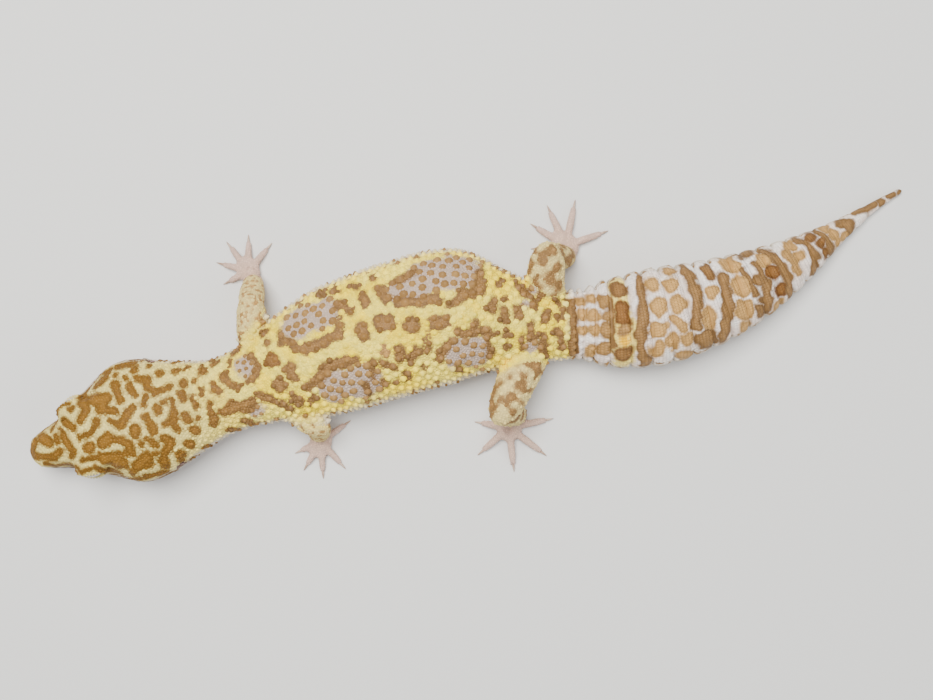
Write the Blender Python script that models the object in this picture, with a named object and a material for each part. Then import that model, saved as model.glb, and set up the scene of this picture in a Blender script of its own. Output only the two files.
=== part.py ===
"""A leopard gecko at life size, lying on its belly with its legs out, for a museum shelf.

The snout points to -X and the tail to +X, the animal's right side is +Y, and the floor is z = 0.
Lengths are in millimetres until publish(), which makes metres of them.

The body is one closed tube, snout to tail tip, whose sections come from BODY. Thin cuts part it
into head, lower jaw, neck, trunk and tail. Every limb bone is a tapered segment that is hollowed
by its neighbour where they meet, and every hand and foot is a pad joined with its five digits.
"""

import math

import bmesh
import bpy
import numpy as np
from mathutils import Matrix, Vector

METRES = 0.001
GAP = 0.3  # between neighbouring pieces
AROUND = 20  # facets round the body

# Sections of the body, across its midline. x, y: the midline seen from above. half: half the
# width, reached at height wide. low, top: lowest and highest point, where a low below 0 makes a
# flat on the floor. crown, keel: squareness of the upper and lower half, where 2 is an ellipse.
BODY_COLUMNS = ("x", "y", "half", "low", "wide", "top", "crown", "keel")
BODY = {
    "snout tip":   (-102.9, 2.6, 3.9, 4.8, 7.9, 11.2, 2.2, 2.3),
    "nostrils":    (-99.4, 2.8, 4.4, 4.3, 8.0, 12.5, 2.4, 2.3),
    "muzzle":      (-94.6, 3.1, 5.8, 3.7, 8.2, 14.3, 2.7, 2.5),
    "eyes":        (-89.6, 3.3, 7.9, 3.2, 8.6, 16.2, 2.8, 2.6),
    "temples":     (-84.4, 3.6, 11.3, 3.0, 8.9, 17.7, 2.4, 2.6),
    "jaw hinge":   (-77.4, 3.8, 14.0, 2.8, 9.2, 18.6, 2.2, 2.6),
    "ears":        (-71.5, 3.8, 13.3, 2.7, 9.4, 18.3, 2.2, 2.5),
    "nape":        (-64.5, 4.0, 11.0, 2.6, 9.2, 17.0, 2.1, 2.4),
    "neck":        (-56.0, 4.4, 9.0, 1.9, 8.6, 15.3, 2.0, 2.3),
    "shoulders":   (-48.0, 5.1, 9.9, 0.8, 8.4, 16.0, 2.0, 2.3),
    "chest":       (-38.6, 6.4, 12.8, -0.2, 8.8, 17.9, 2.0, 2.5),
    "ribs":        (-25.7, 8.1, 15.0, -0.4, 9.2, 20.0, 2.0, 2.6),
    "belly":       (-12.8, 8.8, 15.4, -0.5, 9.2, 21.0, 2.0, 2.6),
    "paunch":      (-2.0, 8.5, 15.5, -0.5, 9.2, 20.8, 2.0, 2.6),
    "waist":       (8.5, 4.8, 11.9, -0.3, 8.4, 18.2, 2.0, 2.5),
    "hips":        (16.0, 1.8, 9.2, 0.2, 7.8, 15.8, 2.1, 2.4),
    "vent":        (21.0, 0.2, 8.0, 0.3, 7.0, 14.0, 2.1, 2.3),
    "tail root":   (26.0, -0.9, 8.0, 0.0, 6.6, 13.0, 2.1, 2.3),
    "tail swell":  (33.3, -2.6, 10.1, -0.3, 7.2, 14.8, 2.1, 2.3),
    "tail fat":    (44.0, -3.9, 11.2, -0.4, 7.6, 16.0, 2.1, 2.3),
    "tail middle": (57.0, -3.9, 10.0, -0.4, 6.9, 14.6, 2.1, 2.3),
    "tail taper":  (68.0, -2.5, 8.2, -0.3, 5.7, 12.2, 2.0, 2.3),
    "tail slim":   (80.3, 0.6, 5.5, -0.3, 4.0, 8.7, 2.0, 2.2),
    "tail whip":   (92.6, 4.8, 2.6, -0.2, 2.0, 4.6, 2.0, 2.0),
    "tail thread": (102.0, 8.0, 1.3, -0.1, 1.1, 2.5, 2.0, 2.0),
    "tail tip":    (109.1, 9.9, 0.7, 0.0, 0.6, 1.2, 2.0, 2.0),
}
SNOUT_ROUND = 4.6  # how far back from the tip the muzzle rounds off
TIP_ROUND = 1.0

# Swellings and hollows of the head on both sides. back: distance behind the snout tip.
# side: distance from the midline. up: height. spread: radius. rise: how far it stands out.
HEAD_FORMS = {
    "nostril rim":   dict(back=2.2, side=2.8, up=10.6, spread=1.5, rise=0.35),
    "lore":          dict(back=8.8, side=5.6, up=11.4, spread=2.4, rise=-0.5),
    "brow":          dict(back=14.4, side=7.2, up=15.2, spread=3.0, rise=1.5),
    "eyelid":        dict(back=14.4, side=8.2, up=12.6, spread=3.3, rise=0.8),
    "behind eye":    dict(back=19.8, side=10.0, up=13.4, spread=2.5, rise=-1.3),
    "jaw muscle":    dict(back=25.8, side=13.4, up=10.5, spread=6.0, rise=0.5),
    "upper lip":     dict(back=11.5, side=7.0, up=8.3, spread=4.5, rise=0.3),
}

EYE = dict(back=14.3, side=5.9, up=12.4, radius=3.3)
EAR = dict(back=33.4, side=12.4, up=10.4, half_height=1.9, half_length=1.15, depth=1.8)
EARDRUM_THICK = 0.6

# The mouth line in side view, as distance behind the snout tip, and height. It ends under the throat.
MOUTH = ((-3.0, 7.8), (2.0, 7.7), (6.0, 7.3), (12.0, 7.3), (18.0, 8.1), (24.5, 9.2), (28.0, 7.8),
         (31.5, 4.4), (34.0, -2.0))

# Where thin cuts part the tube, as distances behind the snout tip, with the pieces between them.
BODY_CUTS = (43.0, 58.0, 84.0, 112.0, 128.6, 151.5, 174.5, 196.0)
BODY_PIECES = ("head", "neck", "chest", "belly", "hips", "tail_base", "tail_fat", "tail_taper",
               "tail_tip")

# The tail's rings. The first ones are short, and from there each is a share of the tail's width.
FIRST_RINGS = (1.8, 1.7, 2.6, 3.3)
RING_LEAST = 2.9
RING_SHARE = 0.07
RING_BULGE = 0.075  # how far a ring swells, as a share of the tail's radius

# Limbs, by joint, as (x, y, z). Each bone's radii are at its near end, its muscle and its far end.
BONES = {
    "upper_arm": dict(near=3.9, muscle=3.9, far=3.3, flat=0.92),
    "forearm":   dict(near=3.0, muscle=3.2, far=2.1, flat=0.9),
    "thigh":     dict(near=5.9, muscle=5.2, far=3.9, flat=0.95),
    "shank":     dict(near=3.6, muscle=3.5, far=2.2, flat=0.95),
}
LIMBS = {
    "hand_right": dict(
        bones=("upper_arm", "forearm"),
        joints=((-48.0, 8.6, 9.0), (-44.9, 22.6, 9.8), (-44.0, 28.6, 2.9)),
        palm=(-44.7, 31.2), heading=105.0, fan=(86, 45, 8, -28, -68)),
    "hand_left": dict(
        bones=("upper_arm", "forearm"),
        joints=((-46.2, 1.4, 9.0), (-37.2, -7.6, 9.4), (-38.4, -10.2, 2.9)),
        palm=(-38.7, -11.9), heading=262.0, fan=(-72, -38, -4, 34, 118)),
    "foot_right": dict(
        bones=("thigh", "shank"),
        joints=((18.2, 2.4, 8.0), (23.1, 15.4, 13.0), (28.6, 14.9, 3.1)),
        palm=(28.9, 17.6), heading=97.0, fan=(72, 35, 2, -34, -92)),
    "foot_left": dict(
        bones=("thigh", "shank"),
        joints=((17.0, -0.4, 8.0), (4.5, -15.3, 13.0), (7.8, -17.9, 3.1)),
        palm=(4.9, -20.2), heading=262.0, fan=(-106, -55, 0, 46, 94)),
}
PADS = {
    "hand": dict(length=2.9, width=2.6, height=1.5, digits=(4.4, 5.6, 6.4, 6.2, 6.0), thick=0.85),
    "foot": dict(length=3.5, width=3.0, height=1.6, digits=(5.5, 7.2, 8.0, 8.6, 8.1), thick=0.95),
}
DIGIT_TAPER = 0.72  # radius at the tip, as a share of the radius at the knuckle
DIGIT_ARCH = 0.55
DIGIT_RINGS = ((0.0, 0.0), (0.1, 0.85), (0.4, 1.0), (0.72, 1.0), (0.95, 0.8), (1.0, 0.0))
CLAW = dict(length=1.35, radius=0.42, tip=0.16, droop=0.35)

FINISHES = {  # colour, roughness
    "head_skin": ((0.80, 0.62, 0.40), 0.5),
    "pale_skin": ((0.86, 0.78, 0.70), 0.5),
    "trunk_skin": ((0.82, 0.64, 0.26), 0.55),
    "tail_skin": ((0.78, 0.66, 0.60), 0.5),
    "leg_skin": ((0.80, 0.66, 0.44), 0.55),
    "eye": ((0.55, 0.47, 0.42), 0.12),
    "claw": ((0.72, 0.60, 0.48), 0.35),
    "eardrum": ((0.45, 0.30, 0.24), 0.4),
}


# ---- curves and sections -------------------------------------------------------------------


def steps_between(points):
    """Distance along a line of points, at each of them."""
    return np.r_[0.0, np.cumsum(np.linalg.norm(np.diff(points, axis=0), axis=1))]


def slopes_of(at, values, monotone):
    """Slopes of a smooth curve through values. A monotone one doesn't overshoot them."""
    chord = np.diff(values) / np.diff(at)
    inner = (chord[:-1] + chord[1:]) / 2
    if monotone:
        same = chord[:-1] * chord[1:] > 0
        safe = np.where(same, chord[:-1] + chord[1:], 1.0)
        inner = np.where(same, 2 * chord[:-1] * chord[1:] / safe, 0.0)
    return np.r_[chord[0], inner, chord[-1]]


def curve_at(at, values, where, monotone=True):
    """The curve through values at distances at, read at the distances where."""
    slopes = slopes_of(at, values, monotone)
    i = np.clip(np.searchsorted(at, where, side="right") - 1, 0, len(at) - 2)
    span = at[i + 1] - at[i]
    t = (where - at[i]) / span
    return ((1 + 2 * t) * (1 - t) ** 2 * values[i] + t * (1 - t) ** 2 * span * slopes[i]
            + t * t * (3 - 2 * t) * values[i + 1] + t * t * (t - 1) * span * slopes[i + 1])


STATIONS = np.array(list(BODY.values()))
STATION_AT = steps_between(STATIONS[:, :2])
BODY_LENGTH = STATION_AT[-1]


def body_size(name, where):
    column = BODY_COLUMNS.index(name)
    return curve_at(STATION_AT, STATIONS[:, column], where, monotone=column > 1)


def midline(where):
    """The body's midline from above, and the direction across it to the animal's right."""
    where = np.asarray(where, float)
    step = 0.05
    ends = [np.stack([body_size("x", w), body_size("y", w)], -1)
            for w in (np.maximum(where - step, 0), np.minimum(where + step, BODY_LENGTH))]
    along = ends[1] - ends[0]
    along /= np.linalg.norm(along, axis=-1, keepdims=True)
    return (ends[0] + ends[1]) / 2, np.stack([-along[..., 1], along[..., 0]], -1)


def ring_edges():
    """Distances of the grooves between the tail's rings."""
    edges = [float(BODY_CUTS[4])]
    for length in FIRST_RINGS:
        edges.append(edges[-1] + length)
    while edges[-1] < BODY_LENGTH - 12:
        width = 2 * float(body_size("half", np.array(edges[-1])))
        edges.append(edges[-1] + RING_LEAST + RING_SHARE * width)
    return np.array(edges)


RING_EDGES = ring_edges()


def ring_swell(where):
    """How the tail's rings scale its radius: 1 elsewhere."""
    i = np.clip(np.searchsorted(RING_EDGES, where, side="right") - 1, 0, len(RING_EDGES) - 2)
    share = (where - RING_EDGES[i]) / (RING_EDGES[i + 1] - RING_EDGES[i])
    on_tail = (where > RING_EDGES[0]) & (where < RING_EDGES[-1])
    fade = np.clip((BODY_LENGTH - where) / 30, 0.3, 1.0) * np.clip((where - RING_EDGES[0]) / 8, 0.3, 1)
    bulge = np.sin(np.pi * np.clip(share, 0, 1)) ** 0.6 - 0.65
    return 1 + RING_BULGE * np.where(on_tail, bulge * fade, 0.0)


def end_rounding(where):
    """Closes the tube in a round nose and a round tail tip."""
    nose = np.clip(where / SNOUT_ROUND, 0, 1)
    tip = np.clip((BODY_LENGTH - where) / TIP_ROUND, 0, 1)
    return np.sqrt(1 - (1 - nose) ** 2) * np.sqrt(1 - (1 - tip) ** 2)


def body_points(where, angle, grow=0.0):
    """Points of the body's surface. angle is 0 on the right flank and a quarter turn on the back."""
    cos, sin = np.cos(angle), np.sin(angle)
    power = 2 / np.where(sin > 0, body_size("crown", where), body_size("keel", where))
    across = np.sign(cos) * np.abs(cos) ** power
    upward = np.sign(sin) * np.abs(sin) ** power
    scale = end_rounding(where) * ring_swell(where)
    wide = body_size("wide", where)
    rise = np.where(sin > 0, body_size("top", where) - wide, wide - body_size("low", where))
    centre, right = midline(where)
    side = across * (body_size("half", where) * scale + grow)
    up = wide + upward * (rise * scale + grow)
    for form in HEAD_FORMS.values():
        near = ((where - form["back"]) ** 2 + (np.abs(side) - form["side"]) ** 2
                + (up - form["up"]) ** 2) / form["spread"] ** 2
        stand = form["rise"] * np.exp(-near)
        side = side + stand * across
        up = up + stand * upward
    return np.stack([centre[..., 0] + right[..., 0] * side, centre[..., 1] + right[..., 1] * side,
                     up], -1)


def in_head(back, side, up):
    """The point at that distance behind the snout tip, to the right of the midline and up."""
    centre, right = midline(back)
    return Vector((*(centre + right * side), up))


# ---- meshes --------------------------------------------------------------------------------


def add_object(name, bm):
    bmesh.ops.recalc_face_normals(bm, faces=bm.faces)
    if bm.calc_volume(signed=True) < 0:
        bmesh.ops.reverse_faces(bm, faces=bm.faces)
    mesh = bpy.data.meshes.new(name)
    bm.to_mesh(mesh)
    bm.free()
    made = bpy.data.objects.new(name, mesh)
    bpy.context.scene.collection.objects.link(made)
    return made


def wrapped_tube(name, around, rings, place):
    """A closed tube made from a sphere: place(ring, angle) gives each point, where ring runs from
    0 at one pole to rings at the other."""
    bm = bmesh.new()
    bmesh.ops.create_uvsphere(bm, u_segments=around, v_segments=rings, radius=1)
    for vert in bm.verts:
        ring = round(math.acos(max(-1.0, min(1.0, vert.co.z))) / math.pi * rings)
        vert.co = place(ring, math.atan2(vert.co.y, vert.co.x))
    return add_object(name, bm)


def body_ring_places():
    """Where the tube has its rings of points: close on the head, and two to a tail ring."""
    nose = [0.0, 0.35, 1.1, 2.2, 3.5]
    head = list(np.arange(5.2, BODY_CUTS[0], 1.85))
    trunk = list(np.linspace(BODY_CUTS[0], BODY_CUTS[4], 24))
    tail = []
    for start, end in zip(RING_EDGES[:-1], RING_EDGES[1:]):
        tail += [start, start + 0.42 * (end - start)]
    tip = list(np.linspace(RING_EDGES[-1], BODY_LENGTH - 0.3, 4)) + [BODY_LENGTH]
    return np.array(nose + head + trunk[:-1] + tail + tip)


def body_tube(name, grow=0.0):
    places = body_ring_places()
    return wrapped_tube(name, AROUND, len(places) - 1,
                        lambda ring, angle: body_points(places[ring], np.array(angle), grow))


def bone_segment(name, start, end, bone, grow=0.0):
    """A tapered segment with a muscle in its upper half, flattened from above, with round ends."""
    start, end = Vector(start), Vector(end)
    along = (end - start).normalized()
    across = along.cross(Vector((0, 0, 1))).normalized()
    over = across.cross(along)
    radii = np.array([bone["near"], bone["muscle"], bone["far"]]) + grow
    length = (end - start).length
    knots = np.array([0.0, 0.38 * length, length])
    rings = 10

    def place(ring, angle):
        turn = math.pi * ring / rings
        reach = length / 2 - length / 2 * math.cos(turn)
        radius = float(curve_at(knots, radii, np.array(reach)))
        cap = radii[0] if ring < rings / 2 else radii[2]
        reach -= cap * math.cos(turn)
        swell = min(1.0, 1.35 * math.sin(turn)) ** 0.85
        return (start + along * reach + across * (radius * swell * math.cos(angle))
                + over * (radius * swell * bone["flat"] * math.sin(angle)))

    return wrapped_tube(name, 10, rings, place)


def pad_shape(name, limb, pad):
    """The palm or the sole: a low dome, longer along its heading."""
    heading = math.radians(limb["heading"])
    turn = Matrix.Rotation(heading, 3, "Z")
    centre = Vector((*limb["palm"], pad["height"] * 0.75))
    rings = 6

    def place(ring, angle):
        turned = math.pi * ring / rings
        low = Vector((pad["length"] * math.sin(turned) * math.cos(angle),
                      pad["width"] * math.sin(turned) * math.sin(angle),
                      pad["height"] * math.cos(turned)))
        return centre + turn @ low

    return wrapped_tube(name, 10, rings, place)


def digit_line(limb, pad, number):
    """Start, heading vector, length and radii of one digit."""
    heading = math.radians(limb["heading"] + limb["fan"][number])
    ahead = Vector((math.cos(heading), math.sin(heading), 0))
    thick = pad["thick"]
    start = Vector((*limb["palm"], thick * 1.15)) + ahead * (pad["width"] * 0.35)
    return start, ahead, pad["digits"][number], thick


def digit_shape(name, limb, pad, number):
    """A finger or toe: it arches from the pad and its blunt tip rests on the floor."""
    start, ahead, length, thick = digit_line(limb, pad, number)
    across = Vector((-ahead.y, ahead.x, 0))

    def place(ring, angle):
        share, swell = DIGIT_RINGS[ring]
        radius = thick * (1 + (DIGIT_TAPER - 1) * share) * swell
        middle = start + ahead * (length * share)
        middle.z += (thick * DIGIT_TAPER * 0.8 - start.z) * share
        middle.z += DIGIT_ARCH * math.sin(math.pi * min(1.0, share * 1.15)) * thick
        return middle + across * (radius * math.cos(angle)) + Vector((0, 0, radius * math.sin(angle)))

    return wrapped_tube(name, 6, len(DIGIT_RINGS) - 1, place)


def claw_shape(name, limb, pad, number):
    """A claw: a small bent cone that starts just past the digit's tip."""
    start, ahead, length, thick = digit_line(limb, pad, number)
    across = Vector((-ahead.y, ahead.x, 0))
    base = start + ahead * (length + GAP)
    base.z = thick * DIGIT_TAPER * 0.8 + 0.1
    rings = 4

    def place(ring, angle):
        share = ring / rings
        radius = (CLAW["radius"] + (CLAW["tip"] - CLAW["radius"]) * share)
        radius *= min(1.0, 2.4 * math.sin(math.pi * share)) if 0 < ring < rings else 0.0
        middle = base + ahead * (CLAW["length"] * share)
        middle.z = base.z + 0.12 * math.sin(math.pi * share) - CLAW["droop"] * share * share
        return middle + across * (radius * math.cos(angle)) + Vector((0, 0, radius * math.sin(angle)))

    return wrapped_tube(name, 5, rings, place)


def ball(name, centre, radii, segments=12, rings=8):
    """An ellipsoid with its poles up and down."""
    bm = bmesh.new()
    bmesh.ops.create_uvsphere(bm, u_segments=segments, v_segments=rings, radius=1,
                              matrix=Matrix.Translation(centre) @ Matrix.Diagonal((*radii, 1)))
    return add_object(name, bm)


# ---- cuts and joins ------------------------------------------------------------------------


def combine(target, other, operation, keep=False):
    """A Boolean of target with other, written into target's mesh."""
    modifier = target.modifiers.new("Boolean", "BOOLEAN")
    modifier.operation = operation
    modifier.solver = "EXACT"
    modifier.object = other
    graph = bpy.context.evaluated_depsgraph_get()
    graph.update()
    mesh = bpy.data.meshes.new_from_object(target.evaluated_get(graph))
    target.modifiers.clear()
    target.data = mesh
    if not keep:
        bpy.data.objects.remove(other)
    return target


def flatten_on_floor(target):
    """Cuts away all that lies below the floor, and closes the cut."""
    bm = bmesh.new()
    bm.from_mesh(target.data)
    everything = bm.verts[:] + bm.edges[:] + bm.faces[:]
    cut = bmesh.ops.bisect_plane(bm, geom=everything, plane_co=(0, 0, 0), plane_no=(0, 0, -1),
                                 clear_outer=True, dist=1e-4)
    edges = [item for item in cut["geom_cut"] if isinstance(item, bmesh.types.BMEdge)]
    bmesh.ops.holes_fill(bm, edges=edges, sides=0)
    bmesh.ops.recalc_face_normals(bm, faces=bm.faces)
    bm.to_mesh(target.data)
    bm.free()
    return target


def cut_plate(bm, back):
    """A plate GAP thick across the body at that distance behind the snout tip."""
    centre, right = midline(back)
    turn = Matrix.Rotation(math.atan2(right[1], right[0]), 4, "Z")
    size = Matrix.Diagonal((50, GAP, 60, 1))
    bmesh.ops.create_cube(bm, size=1, matrix=Matrix.Translation((*centre, 10)) @ turn @ size)


def mouth_plate():
    """The mouth cut: MOUTH as a sheet GAP thick, drawn out across the head."""
    points = np.array(MOUTH)
    along = np.gradient(points, axis=0)
    normal = np.stack([-along[:, 1], along[:, 0]], -1)
    normal /= np.linalg.norm(normal, axis=1, keepdims=True)
    outline = np.concatenate([points + normal * GAP / 2, (points - normal * GAP / 2)[::-1]])
    snout = body_size("x", np.array(0.0))
    bm = bmesh.new()
    reach = 20
    corners = [bm.verts.new((snout + back, -reach, up)) for back, up in outline]
    face = bm.faces.new(corners)
    side = bmesh.ops.extrude_face_region(bm, geom=[face])["geom"]
    moved = [item for item in side if isinstance(item, bmesh.types.BMVert)]
    bmesh.ops.translate(bm, verts=moved, vec=(0, 2 * reach + 10, 0))
    return add_object("mouth cut", bm)


def loose_pieces(target):
    """Parts target into its separate bodies, as a list of objects, and removes it."""
    bm = bmesh.new()
    bm.from_mesh(target.data)
    bm.verts.index_update()
    left = set(bm.verts)
    pieces = []
    while left:
        front = [left.pop()]
        found = set(front)
        while front:
            vert = front.pop()
            for edge in vert.link_edges:
                other = edge.other_vert(vert)
                if other not in found:
                    found.add(other)
                    front.append(other)
        left -= found
        pieces.append(found)
    made = []
    for found in pieces:
        part = bm.copy()
        part.verts.ensure_lookup_table()
        keep = {vert.index for vert in found}
        bmesh.ops.delete(part, geom=[v for v in part.verts if v.index not in keep], context="VERTS")
        made.append(add_object("piece", part))
    bm.free()
    bpy.data.objects.remove(target)
    return made


def largest_piece(target):
    """target without the small slivers that a cut has left beside it."""
    pieces = sorted(loose_pieces(target), key=lambda piece: np.prod(piece.dimensions))
    for sliver in pieces[:-1]:
        bpy.data.objects.remove(sliver)
    return pieces[-1]


def middle_of(target):
    corners = np.array([vert.co for vert in target.data.vertices])
    return (corners.min(0) + corners.max(0)) / 2


# ---- the animal ----------------------------------------------------------------------------


def build_body():
    """Head, lower jaw, neck, trunk and tail, as a dict of objects."""
    tube = flatten_on_floor(body_tube("body"))
    bm = bmesh.new()
    for back in BODY_CUTS:
        cut_plate(bm, back)
    combine(tube, add_object("cuts", bm), "DIFFERENCE")
    pieces = sorted(loose_pieces(tube), key=lambda piece: middle_of(piece)[0])
    made = dict(zip(BODY_PIECES, pieces))
    head = made["head"]
    for side in (1, -1):
        socket = EYE["radius"] + GAP
        centre = in_head(EYE["back"], side * EYE["side"], EYE["up"])
        combine(head, ball("socket", centre, (socket,) * 3), "DIFFERENCE")
        centre = in_head(EAR["back"], side * (EAR["side"] + EAR["depth"]), EAR["up"])
        pit = (EAR["half_length"], 2 * EAR["depth"], EAR["half_height"])
        combine(head, ball("pit", centre, pit, 12, 8), "DIFFERENCE")
    combine(head, mouth_plate(), "DIFFERENCE")
    jaws = sorted(loose_pieces(head), key=lambda piece: middle_of(piece)[2])
    made["lower_jaw"], made["head"] = jaws[0], jaws[-1]
    return made


def build_eyes_and_ears():
    made = {}
    for side, name in ((1, "right"), (-1, "left")):
        centre = in_head(EYE["back"], side * EYE["side"], EYE["up"])
        made["eye_" + name] = ball("eye", centre, (EYE["radius"],) * 3)
        centre = in_head(EAR["back"], side * (EAR["side"] - EAR["depth"] * 0.25), EAR["up"])
        drum = (EAR["half_length"] * 0.55, EARDRUM_THICK / 2, EAR["half_height"] * 0.6)
        made["eardrum_" + name] = ball("eardrum", centre, drum, 8, 4)
    return made


def build_limb(end_name, limb, grown_body):
    """One leg: two bones, then the hand or foot with its digits, then its claws."""
    kind, side = end_name.split("_")
    pad = PADS[kind]
    made = {}
    neighbour = grown_body
    for bone, start, end in zip(limb["bones"], limb["joints"][:-1], limb["joints"][1:]):
        name = f"{bone}_{side}"
        segment = bone_segment(name, start, end, BONES[bone])
        combine(segment, neighbour, "DIFFERENCE", keep=True)
        if neighbour is not grown_body:
            bpy.data.objects.remove(neighbour)
            combine(segment, grown_body, "DIFFERENCE", keep=True)
        neighbour = bone_segment("grown bone", start, end, BONES[bone], GAP)
        made[name] = flatten_on_floor(largest_piece(segment))
    end_shape = pad_shape(end_name, limb, pad)
    for number in range(len(limb["fan"])):
        combine(end_shape, digit_shape("digit", limb, pad, number), "UNION")
        claw = f"claw_{end_name}_{number + 1}"
        made[claw] = flatten_on_floor(claw_shape(claw, limb, pad, number))
    combine(end_shape, neighbour, "DIFFERENCE")
    made[end_name] = flatten_on_floor(largest_piece(end_shape))
    return made


def finish_of(name):
    """The finish that a node is given, from the first word of its name."""
    groups = {
        "head_skin": ("head", "neck"), "pale_skin": ("lower", "hand", "foot"),
        "trunk_skin": ("chest", "belly", "hips"), "tail_skin": ("tail",),
        "leg_skin": ("upper", "forearm", "thigh", "shank"), "eye": ("eye",), "claw": ("claw",),
        "eardrum": ("eardrum",),
    }
    return next(finish for finish, words in groups.items() if name.split("_")[0] in words)


def make_material(name, colour, roughness):
    material = bpy.data.materials.new(name)
    material.use_nodes = True
    shader = material.node_tree.nodes["Principled BSDF"]
    shader.inputs["Base Color"].default_value = (*colour, 1)
    shader.inputs["Roughness"].default_value = roughness
    return material


def publish(made):
    """Names the nodes, gives them their finish, and sets them in metres with the origin under the
    middle of the whole animal."""
    corners = np.concatenate([[vert.co for vert in piece.data.vertices] for piece in made.values()])
    middle = (corners.min(0) + corners.max(0)) / 2
    to_metres = Matrix.Scale(METRES, 4) @ Matrix.Translation((-middle[0], -middle[1], 0))
    for name, piece in made.items():
        piece.name = piece.data.name = name
        piece.data.transform(to_metres)
        piece.data.materials.clear()
        piece.data.materials.append(make_material(name, *FINISHES[finish_of(name)]))
        piece.data.shade_smooth()
        piece.data.set_sharp_from_angle(angle=math.radians(40))


def main():
    for old in list(bpy.data.objects):
        bpy.data.objects.remove(old)
    made = build_body()
    made.update(build_eyes_and_ears())
    grown_body = body_tube("grown body", GAP)
    for end_name, limb in LIMBS.items():
        made.update(build_limb(end_name, limb, grown_body))
    bpy.data.objects.remove(grown_body)
    publish(made)


main()
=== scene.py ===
import math
from types import SimpleNamespace

import bmesh
import bpy
import numpy as np
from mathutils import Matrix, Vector, kdtree, noise
from mathutils.bvhtree import BVHTree


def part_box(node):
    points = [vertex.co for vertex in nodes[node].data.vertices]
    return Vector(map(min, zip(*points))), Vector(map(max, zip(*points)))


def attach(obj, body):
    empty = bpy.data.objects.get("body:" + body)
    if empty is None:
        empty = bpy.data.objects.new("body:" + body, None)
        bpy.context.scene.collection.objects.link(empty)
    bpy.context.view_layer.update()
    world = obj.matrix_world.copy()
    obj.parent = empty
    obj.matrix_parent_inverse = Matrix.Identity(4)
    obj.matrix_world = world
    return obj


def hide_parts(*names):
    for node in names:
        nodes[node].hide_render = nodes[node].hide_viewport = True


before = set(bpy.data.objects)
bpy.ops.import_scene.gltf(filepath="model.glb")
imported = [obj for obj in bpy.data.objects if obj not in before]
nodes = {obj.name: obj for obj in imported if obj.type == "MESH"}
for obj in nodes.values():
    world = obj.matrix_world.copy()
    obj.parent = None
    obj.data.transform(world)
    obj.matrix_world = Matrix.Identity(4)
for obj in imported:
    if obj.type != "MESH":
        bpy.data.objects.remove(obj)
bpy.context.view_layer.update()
mm = 0.001  # shapes are worked out in millimetres, and a finished piece is in metres
sides = {"right": 1, "left": -1}
eardrums = ("eardrum_left", "eardrum_right")


# The camera looks straight down, turned a little, and the studio is a plain pale floor.
studio = dict(cameraAt=(-0.0031, -0.00447, 0.276), cameraTurn=-15.0, lens=45.0,
              floorSize=3.0, floorColour=(0.80, 0.80, 0.78), skyColour=(0.95, 0.97, 1.0), sky=0.36,
              keyAt=(-0.07, 0.17, 0.55), keySize=0.34, keyPower=6.0,
              fillAt=(0.35, -0.35, 0.45), fillSize=0.6, fillPower=1.6)


def areaLight(name, at, size, power, colour):
    data = bpy.data.lights.new(name, "AREA")
    data.size = size
    data.energy = power
    data.color = colour
    light = bpy.data.objects.new(name, data)
    light.location = at
    light.rotation_euler = (-Vector(at)).to_track_quat("-Z", "Y").to_euler()
    bpy.context.scene.collection.objects.link(light)


def buildStudio():
    data = bpy.data.cameras.new("camera")
    data.lens = studio["lens"]
    data.sensor_width = 36
    data.clip_start = 0.01
    camera = bpy.data.objects.new("camera", data)
    camera.location = studio["cameraAt"]
    camera.rotation_euler = (0, 0, math.radians(studio["cameraTurn"]))
    bpy.context.scene.collection.objects.link(camera)
    bpy.context.scene.camera = camera
    areaLight("keyLight", studio["keyAt"], studio["keySize"], studio["keyPower"], (1, 0.98, 0.94))
    areaLight("fillLight", studio["fillAt"], studio["fillSize"], studio["fillPower"], (0.94, 0.97, 1))
    world = bpy.data.worlds.new("studioSky")
    world.use_nodes = True
    sky = world.node_tree.nodes["Background"]
    sky.inputs["Color"].default_value = (*studio["skyColour"], 1)
    sky.inputs["Strength"].default_value = studio["sky"]
    bpy.context.scene.world = world
    bm = bmesh.new()
    bmesh.ops.create_grid(bm, x_segments=1, y_segments=1, size=studio["floorSize"] / 2)
    floor = finishedPiece("floor", bm)
    paper = bpy.data.materials.new("floorPaper")
    paper.use_nodes = True
    shader = paper.node_tree.nodes["Principled BSDF"]
    shader.inputs["Base Color"].default_value = (*studio["floorColour"], 1)
    shader.inputs["Roughness"].default_value = 0.9
    floor.data.materials.append(paper)


def finishedPiece(name, bm):
    mesh = bpy.data.meshes.new(name)
    bm.to_mesh(mesh)
    bm.free()
    piece = bpy.data.objects.new(name, mesh)
    bpy.context.scene.collection.objects.link(piece)
    return piece


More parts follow.
